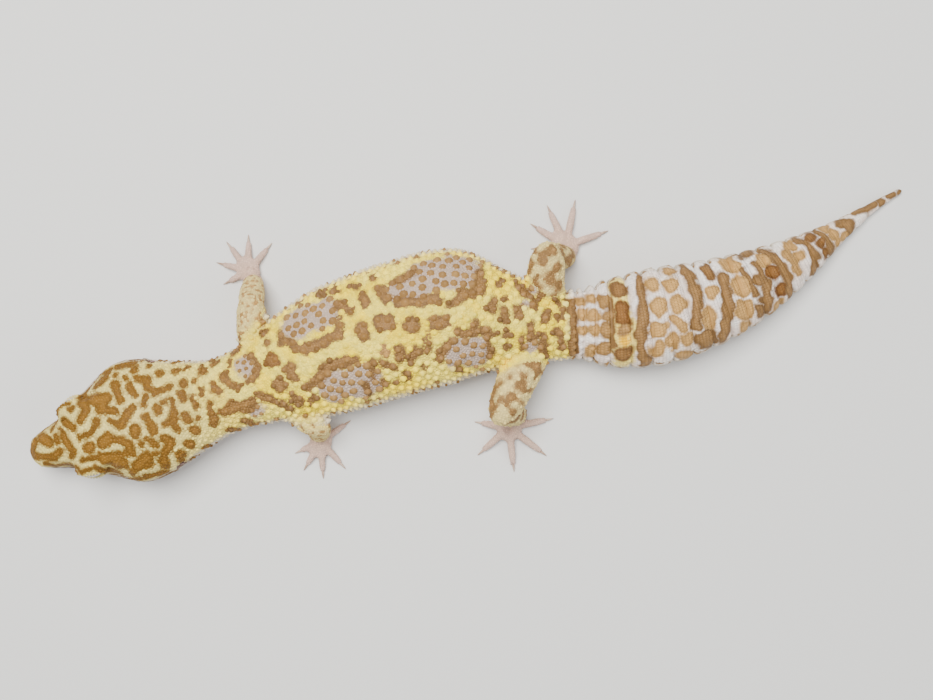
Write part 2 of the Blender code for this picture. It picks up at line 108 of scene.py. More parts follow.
# Stations down the back, the same as the solids': x and y of the middle seen from above, half the
# width, lowest point, height of the widest line, highest point, and how square the upper and
# lower halves are.
backLine = {
    "snout tip":   (-102.9, 2.6, 3.9, 4.8, 7.9, 11.2, 2.2, 2.3),
    "nostrils":    (-99.4, 2.8, 4.4, 4.3, 8.0, 12.5, 2.4, 2.3),
    "muzzle":      (-94.6, 3.1, 5.8, 3.7, 8.2, 14.3, 2.7, 2.5),
    "eyes":        (-89.6, 3.3, 7.9, 3.2, 8.6, 16.2, 2.8, 2.6),
    "temples":     (-84.4, 3.6, 11.3, 3.0, 8.9, 17.7, 2.4, 2.6),
    "jaw hinge":   (-77.4, 3.8, 14.0, 2.8, 9.2, 18.6, 2.2, 2.6),
    "ears":        (-71.5, 3.8, 13.3, 2.7, 9.4, 18.3, 2.2, 2.5),
    "nape":        (-64.5, 4.0, 11.0, 2.6, 9.2, 17.0, 2.1, 2.4),
    "neck":        (-56.0, 4.4, 9.0, 1.9, 8.6, 15.3, 2.0, 2.3),
    "shoulders":   (-48.0, 5.1, 9.9, 0.8, 8.4, 16.0, 2.0, 2.3),
    "chest":       (-38.6, 6.4, 12.8, -0.2, 8.8, 17.9, 2.0, 2.5),
    "ribs":        (-25.7, 8.1, 15.0, -0.4, 9.2, 20.0, 2.0, 2.6),
    "belly":       (-12.8, 8.8, 15.4, -0.5, 9.2, 21.0, 2.0, 2.6),
    "paunch":      (-2.0, 8.5, 15.5, -0.5, 9.2, 20.8, 2.0, 2.6),
    "waist":       (8.5, 4.8, 11.9, -0.3, 8.4, 18.2, 2.0, 2.5),
    "hips":        (16.0, 1.8, 9.2, 0.2, 7.8, 15.8, 2.1, 2.4),
    "vent":        (21.0, 0.2, 8.0, 0.3, 7.0, 14.0, 2.1, 2.3),
    "tail root":   (26.0, -0.9, 8.0, 0.0, 6.6, 13.0, 2.1, 2.3),
    "tail swell":  (33.3, -2.6, 10.1, -0.3, 7.2, 14.8, 2.1, 2.3),
    "tail fat":    (44.0, -3.9, 11.2, -0.4, 7.6, 16.0, 2.1, 2.3),
    "tail middle": (57.0, -3.9, 10.0, -0.4, 6.9, 14.6, 2.1, 2.3),
    "tail taper":  (68.0, -2.5, 8.2, -0.3, 5.7, 12.2, 2.0, 2.3),
    "tail slim":   (80.3, 0.6, 5.5, -0.3, 4.0, 8.7, 2.0, 2.2),
    "tail whip":   (92.6, 4.8, 2.6, -0.2, 2.0, 4.6, 2.0, 2.0),
    "tail thread": (102.0, 8.0, 1.3, -0.1, 1.1, 2.5, 2.0, 2.0),
    "tail tip":    (109.1, 9.9, 0.7, 0.0, 0.6, 1.2, 2.0, 2.0),
}
boxMiddle = (3.1, 4.47)  # the solids are centred on their box, and the stations aren't
columns = ("x", "y", "half", "low", "wide", "top", "crown", "keel")

# Where the body changes: distances behind the snout tip.
bodyAt = dict(headEnd=43.0, fineEnd=45.0, neckEnd=58.0, ventEnd=128.6)

# Joints of the limbs, shoulder or hip to palm, in the stations' own millimetres.
limbs = {
    "hand_right": ((-48.0, 8.6, 9.0), (-44.9, 22.6, 9.8), (-44.0, 28.6, 2.9), (-44.7, 31.2, 1.5)),
    "hand_left": ((-46.2, 1.4, 9.0), (-37.2, -7.6, 9.4), (-38.4, -10.2, 2.9), (-38.7, -11.9, 1.5)),
    "foot_right": ((18.2, 2.4, 8.0), (23.1, 15.4, 13.0), (28.6, 14.9, 3.1), (28.9, 17.6, 1.6)),
    "foot_left": ((17.0, -0.4, 8.0), (4.5, -15.3, 13.0), (7.8, -17.9, 3.1), (4.9, -20.2, 1.6)),
}
limbLines = {name: np.array(joints) - (*boxMiddle, 0) for name, joints in limbs.items()}


# 0 up to low, 1 from high on, and a smooth rise between them.
def smoothStep(low, high, value):
    share = np.clip((value - low) / (high - low), 0, 1)
    return share * share * (3 - 2 * share)


def blended(first, second, share):
    return first + (second - first) * share


# The distance along a line of points to each of them.
def runOf(line):
    return np.r_[0, np.cumsum(np.linalg.norm(np.diff(line, axis=0), axis=1))]


def pointsAlong(line, run, where):
    return np.stack([np.interp(where, run, line[:, k]) for k in range(3)], -1)


# The slope at each station of a smooth curve through them.
def slopesOf(at, values, steady):
    chord = np.diff(values) / np.diff(at)
    inner = (chord[:-1] + chord[1:]) / 2
    if steady:  # a steady curve doesn't overshoot its stations
        same = chord[:-1] * chord[1:] > 0
        inner = np.where(same, 2 * chord[:-1] * chord[1:] / np.where(same, chord[:-1] + chord[1:], 1), 0)
    return np.r_[chord[0], inner, chord[-1]]


def curveThrough(at, values, where, steady):
    slopes = slopesOf(at, values, steady)
    i = np.clip(np.searchsorted(at, where, side="right") - 1, 0, len(at) - 2)
    span = at[i + 1] - at[i]
    t = (where - at[i]) / span
    return ((1 + 2 * t) * (1 - t) ** 2 * values[i] + t * (1 - t) ** 2 * span * slopes[i]
            + t * t * (3 - 2 * t) * values[i + 1] + t * t * (t - 1) * span * slopes[i + 1])


# The stations' curves, read at many places from the snout's tip to the tail's, and the way that
# the line heads there.
def makeLine():
    stations = np.array(list(backLine.values()))
    stations[:, :2] -= boxMiddle
    at = runOf(stations[:, :2])
    fine = np.linspace(0, at[-1], 2200)
    table = np.stack([curveThrough(at, stations[:, k], fine, k > 1) for k in range(8)], -1)
    heading = np.gradient(table[:, :2], axis=0)
    heading /= np.linalg.norm(heading, axis=1, keepdims=True)
    return fine, table, heading


lineAt, lineTable, lineHeading = makeLine()
bodyLength = lineAt[-1]


def lineRead(name, at):
    return np.interp(at, lineAt, lineTable[:, columns.index(name)])


def headingAt(at):
    return np.stack([np.interp(at, lineAt, lineHeading[:, k]) for k in (0, 1)], -1)


def middleAt(at):
    return np.stack([lineRead("x", at), lineRead("y", at)], -1)


def bodyPoint(at, side, up):
    heading = headingAt(at)
    across = np.stack([-heading[..., 1], heading[..., 0]], -1)
    plan = middleAt(at) + across * np.asarray(side)[..., None]
    return np.concatenate([plan, np.broadcast_to(up, np.shape(at))[..., None]], -1)


# Where points are on the body: distance behind the snout, distance to the animal's right, the
# turn about the section from the back, and how far out they are, where 1 is the body's surface.
def bodyPlace(points):
    at = np.interp(points[:, 0], lineTable[:, 0], lineAt)
    for step in range(5):  # nearer each time to where it is along the bent back
        heading = headingAt(at)
        at = np.clip(at + ((points[:, :2] - middleAt(at)) * heading).sum(1), 0, bodyLength)
    heading = headingAt(at)
    off = points[:, :2] - middleAt(at)
    side = off[:, 1] * heading[:, 0] - off[:, 0] * heading[:, 1]
    half, wide = lineRead("half", at), lineRead("wide", at)
    lift = points[:, 2] - wide
    rise = np.where(lift > 0, lineRead("top", at) - wide, wide - lineRead("low", at))
    u, v = side / half, lift / rise
    power = np.where(lift > 0, lineRead("crown", at), lineRead("keel", at))
    reach = (np.abs(u) ** power + np.abs(v) ** power + 1e-9) ** (1 / power)
    turn = np.arctan2(u, v)
    steep = math.radians(65)
    spread = np.where(np.abs(turn) < steep, np.sin(np.abs(turn)),
                      math.sin(steep) + (np.abs(turn) - steep) * 0.6)
    wrap = np.sign(turn) * half * np.hypot(u, v) * spread
    return SimpleNamespace(at=at, side=side, up=points[:, 2], half=half, wide=wide, rise=rise,
                           lift=lift, reach=reach, turn=turn, wrap=wrap,
                           back=np.degrees(np.abs(turn)))


# The tail's rings: the first are short, and from there each is a share of the tail's width.
rings = dict(first=(1.8, 1.7, 2.6, 3.3), least=2.9, share=0.07, plainTip=12, fade=34, lean=0.45,
             bulge=0.07, groove=0.34, grooveWidth=0.28)


def makeRings():
    edges = [bodyAt["ventEnd"]]
    for length in rings["first"]:
        edges.append(edges[-1] + length)
    while edges[-1] < bodyLength - rings["plainTip"]:
        width = 2 * float(lineRead("half", edges[-1]))
        edges.append(edges[-1] + rings["least"] + rings["share"] * width)
    return np.array(edges)


ringEdges = makeRings()


# How far through its ring a point is, and how strongly the tail is ringed there.
def ringPlace(at, turn):
    shifted = at - rings["lean"] * np.sin(turn)
    i = np.clip(np.searchsorted(ringEdges, shifted, side="right") - 1, 0, len(ringEdges) - 2)
    share = (shifted - ringEdges[i]) / (ringEdges[i + 1] - ringEdges[i])
    fade = (np.clip((bodyLength - at) / rings["fade"], 0, 1) * smoothStep(-1.5, 1.5, shifted - ringEdges[0])
            * smoothStep(-8, 0, ringEdges[-1] - shifted))
    return i, np.clip(share, 0, 1), fade


# Where points are on the nearest limb: how far from its line, down it, round it, and which it is.
def limbPlace(points):
    best = np.full(len(points), 1e9)
    along, which = np.zeros(len(points)), np.zeros(len(points), int)
    around = np.zeros(len(points))
    for number, joints in enumerate(limbLines.values()):
        run = 0.0
        for a, b in zip(joints[:-1], joints[1:]):
            length = np.linalg.norm(b - a)
            share = np.clip(((points - a) @ (b - a)) / length ** 2, 0, 1.0)
            off = points - (a + share[:, None] * (b - a))
            far = np.linalg.norm(off, axis=1)
            sideways = np.cross(b - a, (0, 0, 1.0))
            sideways /= np.linalg.norm(sideways)
            upward = np.cross(sideways, (b - a) / length)
            near = far < best
            best = np.where(near, far, best)
            along = np.where(near, run + share * length, along)
            around = np.where(near, np.arctan2(off @ sideways, off @ upward), around)
            which = np.where(near, number, which)
            run += length
    return SimpleNamespace(far=best, along=along, around=around, which=which)


# How much of a point is limb: 0 on the body and 1 on an arm or leg.
def limbShare(place):
    outside = (place.reach - 1) * np.minimum(place.half, place.rise)
    return smoothStep(0.5, 2.6, outside) * (place.at > bodyAt["headEnd"] + 1) * (place.at < 150)


print("frame, line and rings ready:", round(bodyLength, 1), "mm,", len(ringEdges) - 1, "rings")


# A place is a distance behind the snout and a distance to the animal's right, in millimetres. A
# stroke is the places of its two ends and its half width, and a spot is one place and its half
# width. After those may come how dark it is, from 0, tan, to 1, dark brown.
crownMarks = (
    (1.2, .5, 3, 2.5, .9), (5.2, 2.8, 6.8, 1.2, 1.2), (8.9, 2, 9, .8, .6), (3.5, 4.3, 6, 5.3, .5),
    (6.8, 5.2, 9.5, 5.9, .5), (8, 3.8, 9.5, 5, .35), (3.8, -3.1, 5.5, -4, .35),
    (6.5, -4.2, 9, -4.8, .35), (1.5, -.3, 4, -1.7, .8), (4, -1.7, 7, -2.5, .8),
    (7.5, -2, 8.7, -1.6, .8), (12.2, 8.2, 14.5, 8, .45), (14.6, 6.6, 15.6, 6.9, .5),
    (10.2, 6.2, 11.2, 8, .4), (12.2, 4.6, 13.8, 2.6, .9, .8), (10.3, 3.4, 10.9, 2.3, .4),
    (10.8, 1.8, 11.6, -1.6, 1), (12.5, -2.2, 11, -3.6, .6), (9.6, -5.4, 10.9, -7.2, .6),
    (11.3, -6.1, 12.4, -6.5, .35), (12.5, -7.4, 14.6, -7.2, .5), (16, 3.6, 18.2, 5.4, 1),
    (18.2, 5.4, 17.5, 7.8, .9), (17.5, 7.8, 16.8, 9.4, .5), (16.8, 9.5, 18.5, 11.5, .4),
    (18.5, 11.5, 21.5, 12.6, .4), (19, 7.5, 20.5, 7.2, .7), (20.5, 7.2, 23, 6.4, 1.3),
    (22, 5.8, 21.8, 4.5, 1), (21, 4.3, 24.5, 3.3, .8), (20.5, 10.2, 23.5, 11, .7),
    (23.5, 11, 24.2, 12.6, .6), (22.5, 12.6, 24.8, 12.9, .4), (26, 12.9, 29.8, 12.9, .7),
    (25.9, 10.9, .45), (27.8, 9.8, .6, .3), (25.4, 9.2, 25.9, 7, .8),
    (25.9, 7, 26, 5.4, .8), (28.4, 8, 29.3, 5.8, .8), (30, 11.2, .8),
    (31.5, 13.2, .5), (33, 11.1, .5), (30.4, 9.2, 32.6, 8, .8),
    (32.6, 8, 32.4, 6.4, .7), (32.4, 6.4, 33.6, 5.4, .7), (33.6, 4.8, 37, 5.2, .8),
    (35.3, 8.8, .8), (31.5, 4.8, 30.6, 3.2, .6), (28, 2.8, 26, 1.2, 1),
    (26, 1.2, 24.6, -.2, .8), (24.6, .2, 22.6, 1.6, .5), (19.6, 2, .9),
    (19.6, 2, 17.8, .5, .6), (17.8, .5, 15, 0, .6), (14.7, .6, 14.6, -.4, .4),
    (15.9, -2.9, 16.5, -2.4, 1), (19.6, -2.4, 21.4, -2, 1.3), (21.4, -2.4, 24.2, -3.4, .8),
    (24.2, -3.4, 25.3, -4.6, .9), (25.3, -5, 25.4, -6.6, .8), (13.5, -4.7, 13.5, -4.8, .6),
    (13.5, -4.8, 15.5, -4.9, .35), (15.5, -5, 17.5, -5.3, .6), (18, -4.5, .5),
    (18.5, -6, 22.2, -6.6, 1.3), (20.2, -7.8, 22.4, -8.3, 1.2), (22.4, -6.6, 25, -6.4, .8),
    (15.8, -7.2, 16.8, -8.8, .6), (16.8, -8.8, 19.8, -10.2, .8), (17, -10.8, 20, -12.2, .3),
    (19.5, -12, 24.5, -13, .4), (23.5, -10.9, 1), (25.2, -9.6, 28.4, -8.8, 1.3),
    (27.6, -7.8, 28.6, -7.6, .6), (28.4, -10.2, 26.8, -10.4, .6), (25.8, -12.9, 30.2, -13, .7),
    (27.7, -1.6, 27.6, -2.6, 1.2), (28, -5.3, .7), (29.8, -4.8, 31, -6.3, .7),
    (30.6, .4, 31.2, -1.6, .9), (31.2, -1.6, 31.4, -3.4, .8), (33.2, 1.8, 33.6, .6, .8),
    (35, 2.2, .6), (36.8, 2.6, 36.6, -.6, .6), (36.6, -.6, 35.8, -2.4, .8),
    (35.8, -2.4, 33.8, -2.4, .6), (35.8, -2.6, 36.2, -4.6, .7), (33, -5.4, 34, -6.6, .9),
    (33.6, -7, 32.2, -8.4, .8), (32, -8.4, 30.8, -10.6, .9), (30.6, -11.4, .7),
    (30.2, -8.1, .5), (37.1, -8.2, 1), (34.6, -10.1, .9),
    (34, -11.6, .6), (38.6, -1.8, 38.9, -3.2, .7), (39.6, -5.8, 1.1),
    (40.8, -3, .6), (41.2, 1.3, 41.2, -.7, .7), (40, 5.2, .9),
    (39.2, 3.4, 39.4, 1.6, .6), (42.8, 5.2, .6), (43.4, 3, 43.6, 1.6, .6),
    (41, 8.2, .5), (38.8, 8.4, .8),
)
faceMarks = (  # on the cheeks and lips, below the edge that is seen from above
    (3, 6.3, 9, 7.6, .45), (3, -5.2, 9, -6.6, .45), (17, 13.6, 21, 14.6, .6), (23, 15, 26, 16.4, .7),
    (28.5, 15.2, 31, 15, .7), (20, 16.4, 23, 17.6, .5), (17, -13.2, 21, -14.4, .6),
    (23, -15, 26, -16.2, .7), (28.5, -15.4, 31, -15, .7), (20, -16.2, 23, -17.2, .5),
    (35, 13, 36.5, 14.2, .7), (38.5, 11.2, 40, 12.2, .7), (36, -12.8, 37.5, -14, .7),
    (39.5, -10.6, 41, -11.6, .7), (26.5, 18.4, 29, 18.2, .5), (26.5, -18.2, 29, -18, .5),
)
neckMarks = (
    (44.4, -1, 43.6, -5, .8), (46, 2.2, 47, 1, .8), (49.2, 4, 50.2, 1, .9), (51.6, .6, .7),
    (44.4, 6.6, .8), (47.6, 7.4, .7), (51, 6.4, .5),
    (47, -3.5, 53, -3.9, 1.3), (55.6, -3.2, 57.2, -5.2, .9), (54.5, .6, 57, 2.6, .9),
    (57.2, 3, 57.6, 5, .6), (56.4, 6.2, .6), (58.6, -6.8, 60, -8.2, .7),
    (46, -8, 47, -9.6, .7), (50, -7.4, 51, -8.8, .7), (46.5, 9.6, 48, 10.6, .7), (52.5, 8.6, 53.5, 9.6, .7),
)
backMarks = (
    (61.2, 3.2, 1.5, .75), (60.5, -2.4, 1.8), (64.4, -.2, 64.6, -2.8, 1.2),
    (63.4, .6, .8), (62, -6.4, 63, -8.2, .9), (66.6, -6, 65.6, -8.6, .8),
    (61, 6.8, .8), (60.8, 9.5, 62, 9.8, .6), (64.8, 8, 64.4, 5.6, .7),
    (79.2, 8.8, 81, 6.8, 1.1), (84.6, 8.6, 85, 6.8, 1.1), (88.6, 9.2, 88.8, 6.6, 1.1),
    (79.1, 12.4, .9), (83.4, 11.6, .9), (87.7, 12.4, .9),
    (76.3, 12.6, .8), (82.4, 2.4, 82.2, .2, 1.5), (87.4, 1.8, 2.1),
    (85.4, -4, 1, .2), (88.8, -4.6, 88.4, -6.6, 1.2), (84.4, -6.6, 86.4, -8.4, .8),
    (82, -5.6, 81, -8.8, .7), (78.2, -9.6, 79, -12, .7), (83, -11.2, .8),
    (85.8, -11.8, .8), (88.8, -11, .9), (92.9, -.5, 1.8),
    (97.6, -1.4, 100.6, -1.4, 1.3), (95.4, -4.4, 95, -6.4, 1.1), (92.4, -6, 91, -7.6, 1),
    (93, -10.2, 1.1), (111, 4.4, 110.8, 2, .9), (113.4, 2, 113.6, -.4, .8),
    (116.6, 3.2, 116.6, 1.2, 1.1), (120, 4.4, 1.1), (111.8, 8.2, 1),
    (113.8, 4.8, .6), (115.5, 8.6, 118.2, 6.6, 1), (114.4, -3.2, 1),
    (115.3, -6, .8), (119.8, 0, 120.6, -3, .9), (122.6, -2.4, 123, -6, .9),
    (118.4, -3.8, 118.8, -6, .6), (123.2, 1.8, 1.3), (121.6, 6.6, .9),
    (126, 5.4, .9), (128.7, 5.4, .6), (127.6, 3.6, 126.4, 1.6, .7),
    (126, -1.4, 126.8, -4.8, .9),
)
rimMarks = (  # round the lavender patches
    (67.6, 3.6, 70.5, 2, 1.2), (70.5, 2.2, 77, 2.6, 1.2), (77, 2.6, 78.2, 5.4, 1),
    (65.5, 6, 67, 4.2, .8), (68, -5.4, 72, -3.4, 1), (72, -3, 78.5, -3.6, 1.1),
    (91.8, 5.2, 94.5, 4.4, 1.1), (94.5, 4.4, 99.6, 3.6, 1.1), (102.6, 2.6, 104.5, 4.6, 1.1),
    (104.5, 4.8, 107.6, 4.8, .9), (107.4, 6.2, 107.2, 9.6, 1.2), (92, 9.8, 96, 10.6, .8),
    (103.6, -3.4, 107.4, -3.6, 1.1), (107.4, -1.6, 107.2, -3.4, .9), (109, -3, 111.2, -3.6, .9),
    (111, -4, 111.4, -8, .6), (96.8, -9.2, 101, -6, 1.1), (102, -12, 106, -12.4, .6),
)
lavenderPatches = (
    (68.5, 8.4, 76, 8.2, 3.1), (71.5, -7.6, 79.5, -9.2, 3.4), (92.5, 7.4, 104, 8.6, 2.8),
    (97.5, 10.8, 105, 11, 2.2), (101.5, -8.4, 108.5, -7.6, 3.1), (54.5, 4.5, 2.2),
    (53.5, -6, 1.6), (119.6, 7.6, 1.2), (118, 4.2, .8),
    (120.6, -5, 1.4),
)
tailMarks = (
    (129.3, 5, 129.5, -6, .7), (131.6, 1.8, .8, .1), (131.7, -1.8, .8, .1),
    (134.2, 1.8, .8, .1), (134.2, -1.4, .8, .1),
    (131.4, 5, .6, .1), (133.8, 5.6, .7, .1), (133.6, -6, .7, .1),
    (137, 5.2, 1, .3), (137.2, 1.6, 1, .3), (137, -1.6, 1, .3),
    (136.6, -5.4, 1, .3), (138, 5, 138, -5, .4, .4), (140.4, 7.2, 1.2, .7),
    (140.7, 2.6, 140.7, 1, 1.3, .9), (140, -7, 1.2, .7), (140.6, -2, .8, .3),
    (146, 9, 145.6, 4, .7), (145.6, 4, 144.4, -1, .9), (144.4, -1, 143.6, -6, 1),
    (143.6, -6, 144.8, -10, .9), (148.6, 7.2, 1.1, .1), (148.8, 2.2, 1.5, .1),
    (147.8, -2.8, 1.5, .1), (147.2, -7.4, 1.2, .1),
    (153, 6.4, 1.2, .1), (153.6, 1.8, 1.4, .1),
    (151.6, -1.2, 153.4, -3.4, 1, .1), (150.6, -6, 1.1, .1),
    (154, -6.4, 1.1, .1), (152, -9.6, 154, -10, .9, .2), (154, 9.6, .8, .2),
    (157.4, 9.5, 158.2, 4, .8), (158.2, 4, 157.6, 0, 1), (157.6, 0, 156.2, -4, .9),
    (158, -7.8, 1.8), (162.6, 7.6, 163, 6.4, .9, .7), (161.6, 2.2, 1, .1),
    (159.6, -2.2, 159, -4, 1, .1), (165.8, 5, 165, 1, .8), (165, 1, 163.6, -4, 1),
    (163.6, -4, 161.4, -9, .9), (168.6, 7.2, 169.4, 5.8, 1.2, .1), (168.6, 1.4, 1.8, .1),
    (167.6, -4, 1.8, .1), (167, -8, 1, .1), (171, 4, 171.2, -2, .6),
    (170.8, -5, 171, -7, .5), (174.4, 4, 174.6, -1, .5), (174.4, -1, 172.6, -6.5, .8),
    (173.2, .6, .8), (173, -3.8, .8), (172.8, 8, 175, 7, .8),
    (177.2, .6, 1.3, .9), (177.2, -3.6, 1.2, .9),
    (176.8, 4.2, 1.2, .1), (175.6, -7, .9, .1), (178.2, 6.5, 179.6, 3, .6),
    (179.6, 3, 180, -2, .9), (180, -2, 179, -6, .8), (184.4, 3.8, .9, .1),
    (184.6, .6, .8, .1), (182.6, 3, 182.6, -3, .5, .2), (186.8, 4.6, 188.4, 1.5, .6),
    (188.4, 1.5, 188.2, -2, .7), (188.2, -2, 186.4, -4.4, .6), (190, 3, .7, .8),
    (191.5, .6, .7, .8), (191.3, -2, .8, .8), (192.4, 3.2, 193.4, 0, .5),
    (193.4, 0, 192.6, -3.2, .5), (194.8, 2.4, .6, .1), (195.4, .4, .6, .1),
    (195.2, -1.8, .6, .1), (197.4, -1.6, .6, .1),
    (198.6, 1.6, 199.8, 0, .6), (199.8, 0, 199.4, -1.8, .6), (203.2, 1.2, 205.5, .4, .6),
    (205.5, .4, 208.2, .9, .6), (210, 0, .5), (212.8, .2, .45),
    (215, 0, .35),
)
goldPatches = ((140.3, 9, 140.3, -9, 2.2), (140.4, -1.6, 140.4, -4.6, 3.4))


# How far inside its nearest stroke each point is, and how dark that stroke is. Grow widens the
# strokes, and spots twice as much as bands.
def strokeField(strokes, at, wrap, usual=0.5, grow=0.0):
    field, dark = np.full(len(at), -3.0), np.full(len(at), usual)
    order = np.argsort(at)
    inOrder = at[order]
    for stroke in strokes:
        if len(stroke) < 5:  # a spot starts and ends at its own place
            stroke = stroke[:2] + stroke
        s0, w0, s1, w1, width = stroke[:5]
        reach = width + 3
        low, high = np.searchsorted(inOrder, (min(s0, s1) - reach, max(s0, s1) + reach))
        near = order[low:high]
        along, over = s1 - s0, w1 - w0
        squared = max(along ** 2 + over ** 2, 1e-9)
        share = np.clip(((at[near] - s0) * along + (wrap[near] - w0) * over) / squared, 0, 1)
        more = grow if squared < 4 else grow / 2
        inside = width + more - np.hypot(at[near] - s0 - share * along, wrap[near] - w0 - share * over)
        better = inside > field[near]
        field[near[better]] = inside[better]
        dark[near[better]] = stroke[5] if len(stroke) > 5 else usual
    return field, dark


# Noise with lumps of a size in millimetres. Each fleck field is its size, which part of the noise
# it is, how strong it is and how much is taken off it.
flecks = dict(waver=2.3, flank=(1.5, 7.0, 2.6, 0.75), hindLeg=(2.1, 3.0, 1.7, 0.2),
              arm=(0.9, 9.0, 2.2, 0.52))


def noiseAt(points, size, part):
    return np.array([noise.noise(Vector((x / size + part, y / size, z / size))) for x, y, z in points])


def fleckField(points, size, part, strong, less):
    return noiseAt(points, size, part) * strong - less


# Everything that a colour depends on, for points of the skin or roots of the scales.
def marksAt(points):
    place = bodyPlace(points)
    limb = limbShare(place)
    # Their outlines waver, as if each had grown by itself.
    waver = 0.5 + 0.45 * smoothStep(38, 46, place.at)
    at = place.at + waver * noiseAt(points, flecks["waver"], 1.0)
    wrap = place.wrap + waver * noiseAt(points, flecks["waver"], 5.0)
    brown, dark = strokeField(crownMarks + faceMarks, at, wrap, grow=0.14)
    for strokes, grow in ((neckMarks, 0.32), (backMarks + rimMarks, 0.14), (tailMarks, 0.62)):
        field, tint = strokeField(strokes, at, wrap, grow=grow)
        brown, dark = np.maximum(brown, field), np.where(field > brown, tint, dark)
    lavender, _ = strokeField(lavenderPatches, at, wrap)
    gold, _ = strokeField(goldPatches, place.at, place.wrap)
    # The flanks, lower tail and legs go on in smaller spots than the back's.
    low = smoothStep(62, 76, place.back) * (1 - smoothStep(104, 122, place.back))
    flank = low * (place.at > 45) * (1 - limb)
    spots = fleckField(points, *flecks["flank"]) * flank
    brown = np.where(flank > 0.3, np.maximum(brown, spots), brown)
    dark = np.where((flank > 0.3) & (spots >= brown - 1e-6), 0.3, dark)
    onLimb, hind = limb > 0.5, place.at > 100
    mottle = np.where(hind, fleckField(points, *flecks["hindLeg"]), fleckField(points, *flecks["arm"]))
    top = smoothStep(0.5, 3.5, points[:, 2])  # a limb's colours fade towards the floor
    brown = np.where(onLimb, mottle * top - (1 - top), brown)
    dark = np.where(onLimb, np.where(hind, 0.35, 0.15), dark)
    lavender = np.where(onLimb, -3, lavender)
    under = np.where(onLimb, np.maximum(0.3 * (1 - top), 0), smoothStep(57, 130, place.back))
    tail = smoothStep(127.5, 130.5, place.at)
    head = 1 - smoothStep(30, 62, place.at)
    toes = limb * (1 - smoothStep(2.2, 5.6, points[:, 2]))
    return dict(
        marks=np.stack([np.clip(brown, -3, 3), dark, np.clip(lavender, -3, 3)], -1),
        zones=np.stack([under, tail, limb], -1),
        extra=np.stack([np.clip(gold, -3, 3), toes, head], -1))


# Gives every point of a mesh its values, for the finishes to read.
def setAttributes(mesh, values):
    for name, value in values.items():
        attribute = mesh.attributes.new(name, "FLOAT_VECTOR", "POINT")
        attribute.data.foreach_set("vector", np.ascontiguousarray(value, np.float32).ravel())


# The depths are how far the skin is sunk under the flesh's own surface, for the coat to lie in.
skinForm = dict(voxel=0.42, kept=0.64, seal=0.22, floor=0.12, bodyDepth=0.42, tailDepth=0.2,
                headDepth=0.22, limbDepth=0.2, toeDepth=0.12, bellyDepth=0.18,
                evenings=26, headEvenings=4, lipEvenings=25, lastEvenings=2)
lids = dict(at=14.3, gaze=(0.93, 0.24, 0.28), length=2.45, height=1.7, inside=0.6, edge=0.42,
            upperEdge=0.62, crease=0.3, reach=6.5)
mouth = dict(line=((-3, 7.8), (2, 7.7), (6, 7.3), (12, 7.3), (18, 8.1), (24.5, 9.2)), corner=23.0,
             hub=7.0, groove=0.6, width=0.14, lip=0.12)
ears = dict(high=2.1, long=1.35, rim=0.2, depth=0.75, reach=4)
nostrils = dict(back=2.3, side=2.7, up=10.4, radius=0.5, depth=0.75, rim=0.12)
fleshNodes = sorted(n for n in nodes if not n.startswith(("eye", "claw", "eardrum")))


def nodeMiddle(name):
    low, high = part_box(name)
    return np.array((low + high) / 2) / mm


def meshPoints(mesh):
    points = np.empty(len(mesh.vertices) * 3)
    mesh.vertices.foreach_get("co", points)
    return points.reshape(-1, 3)


def setPoints(mesh, points):
    mesh.vertices.foreach_set("co", np.ascontiguousarray(points, np.float32).ravel())
    mesh.update()


def meshNormals(mesh):
    normals = np.empty(len(mesh.vertices) * 3)
    mesh.vertex_normals.foreach_get("vector", normals)
    return normals.reshape(-1, 3)


def meshEdges(mesh):
    edges = np.empty(len(mesh.edges) * 2, np.int32)
    mesh.edges.foreach_get("vertices", edges)
    return edges.reshape(-1, 2)


# Draws each point towards the middle of its neighbours, by its share.
def evened(points, edges, rounds, share, pulls=(0.5, -0.53)):
    count = np.bincount(edges.ravel(), minlength=len(points))
    for turn in range(rounds):
        for pull in pulls:  # in and back out, so that nothing shrinks
            total = np.stack([np.bincount(edges[:, 0], points[edges[:, 1], k], len(points))
                              + np.bincount(edges[:, 1], points[edges[:, 0], k], len(points))
                              for k in range(3)], -1)
            points = points + pull * share[:, None] * (total / count[:, None] - points)
    return points


def applied(piece):  # what the piece's modifiers make becomes its mesh
    seen = piece.evaluated_get(bpy.context.evaluated_depsgraph_get())
    mesh = bpy.data.meshes.new_from_object(seen)
    piece.modifiers.clear()
    piece.data = mesh


# All the flesh and the balls of the eyes as one closed, even mesh.
def sealedFlesh():
    bm = bmesh.new()
    for name in fleshNodes + ["eye_left", "eye_right"]:
        part = bmesh.new()
        part.from_mesh(nodes[name].data)
        bmesh.ops.remove_doubles(part, verts=part.verts, dist=1e-6)
        bmesh.ops.scale(part, vec=(1 / mm,) * 3, verts=part.verts)
        part.normal_update()
        for vertex in part.verts:
            vertex.co += vertex.normal * skinForm["seal"]
        if name in ("head", "lower_jaw"):  # the lips are closed here, and the mouth's line cut later
            spots = np.array([vertex.co for vertex in part.verts])
            for vertex, moved in zip(part.verts, byMouth(spots, 0.5, 4)):
                vertex.co.z += moved * (-0.6 if name == "head" else 0.6)
        loose = bpy.data.meshes.new(name)
        part.to_mesh(loose)
        part.free()
        bm.from_mesh(loose)
        bpy.data.meshes.remove(loose)
    piece = finishedPiece("skin", bm)
    remesh = piece.modifiers.new("Remesh", "REMESH")
    remesh.mode = "VOXEL"
    remesh.voxel_size = skinForm["voxel"]
    applied(piece)
    return piece


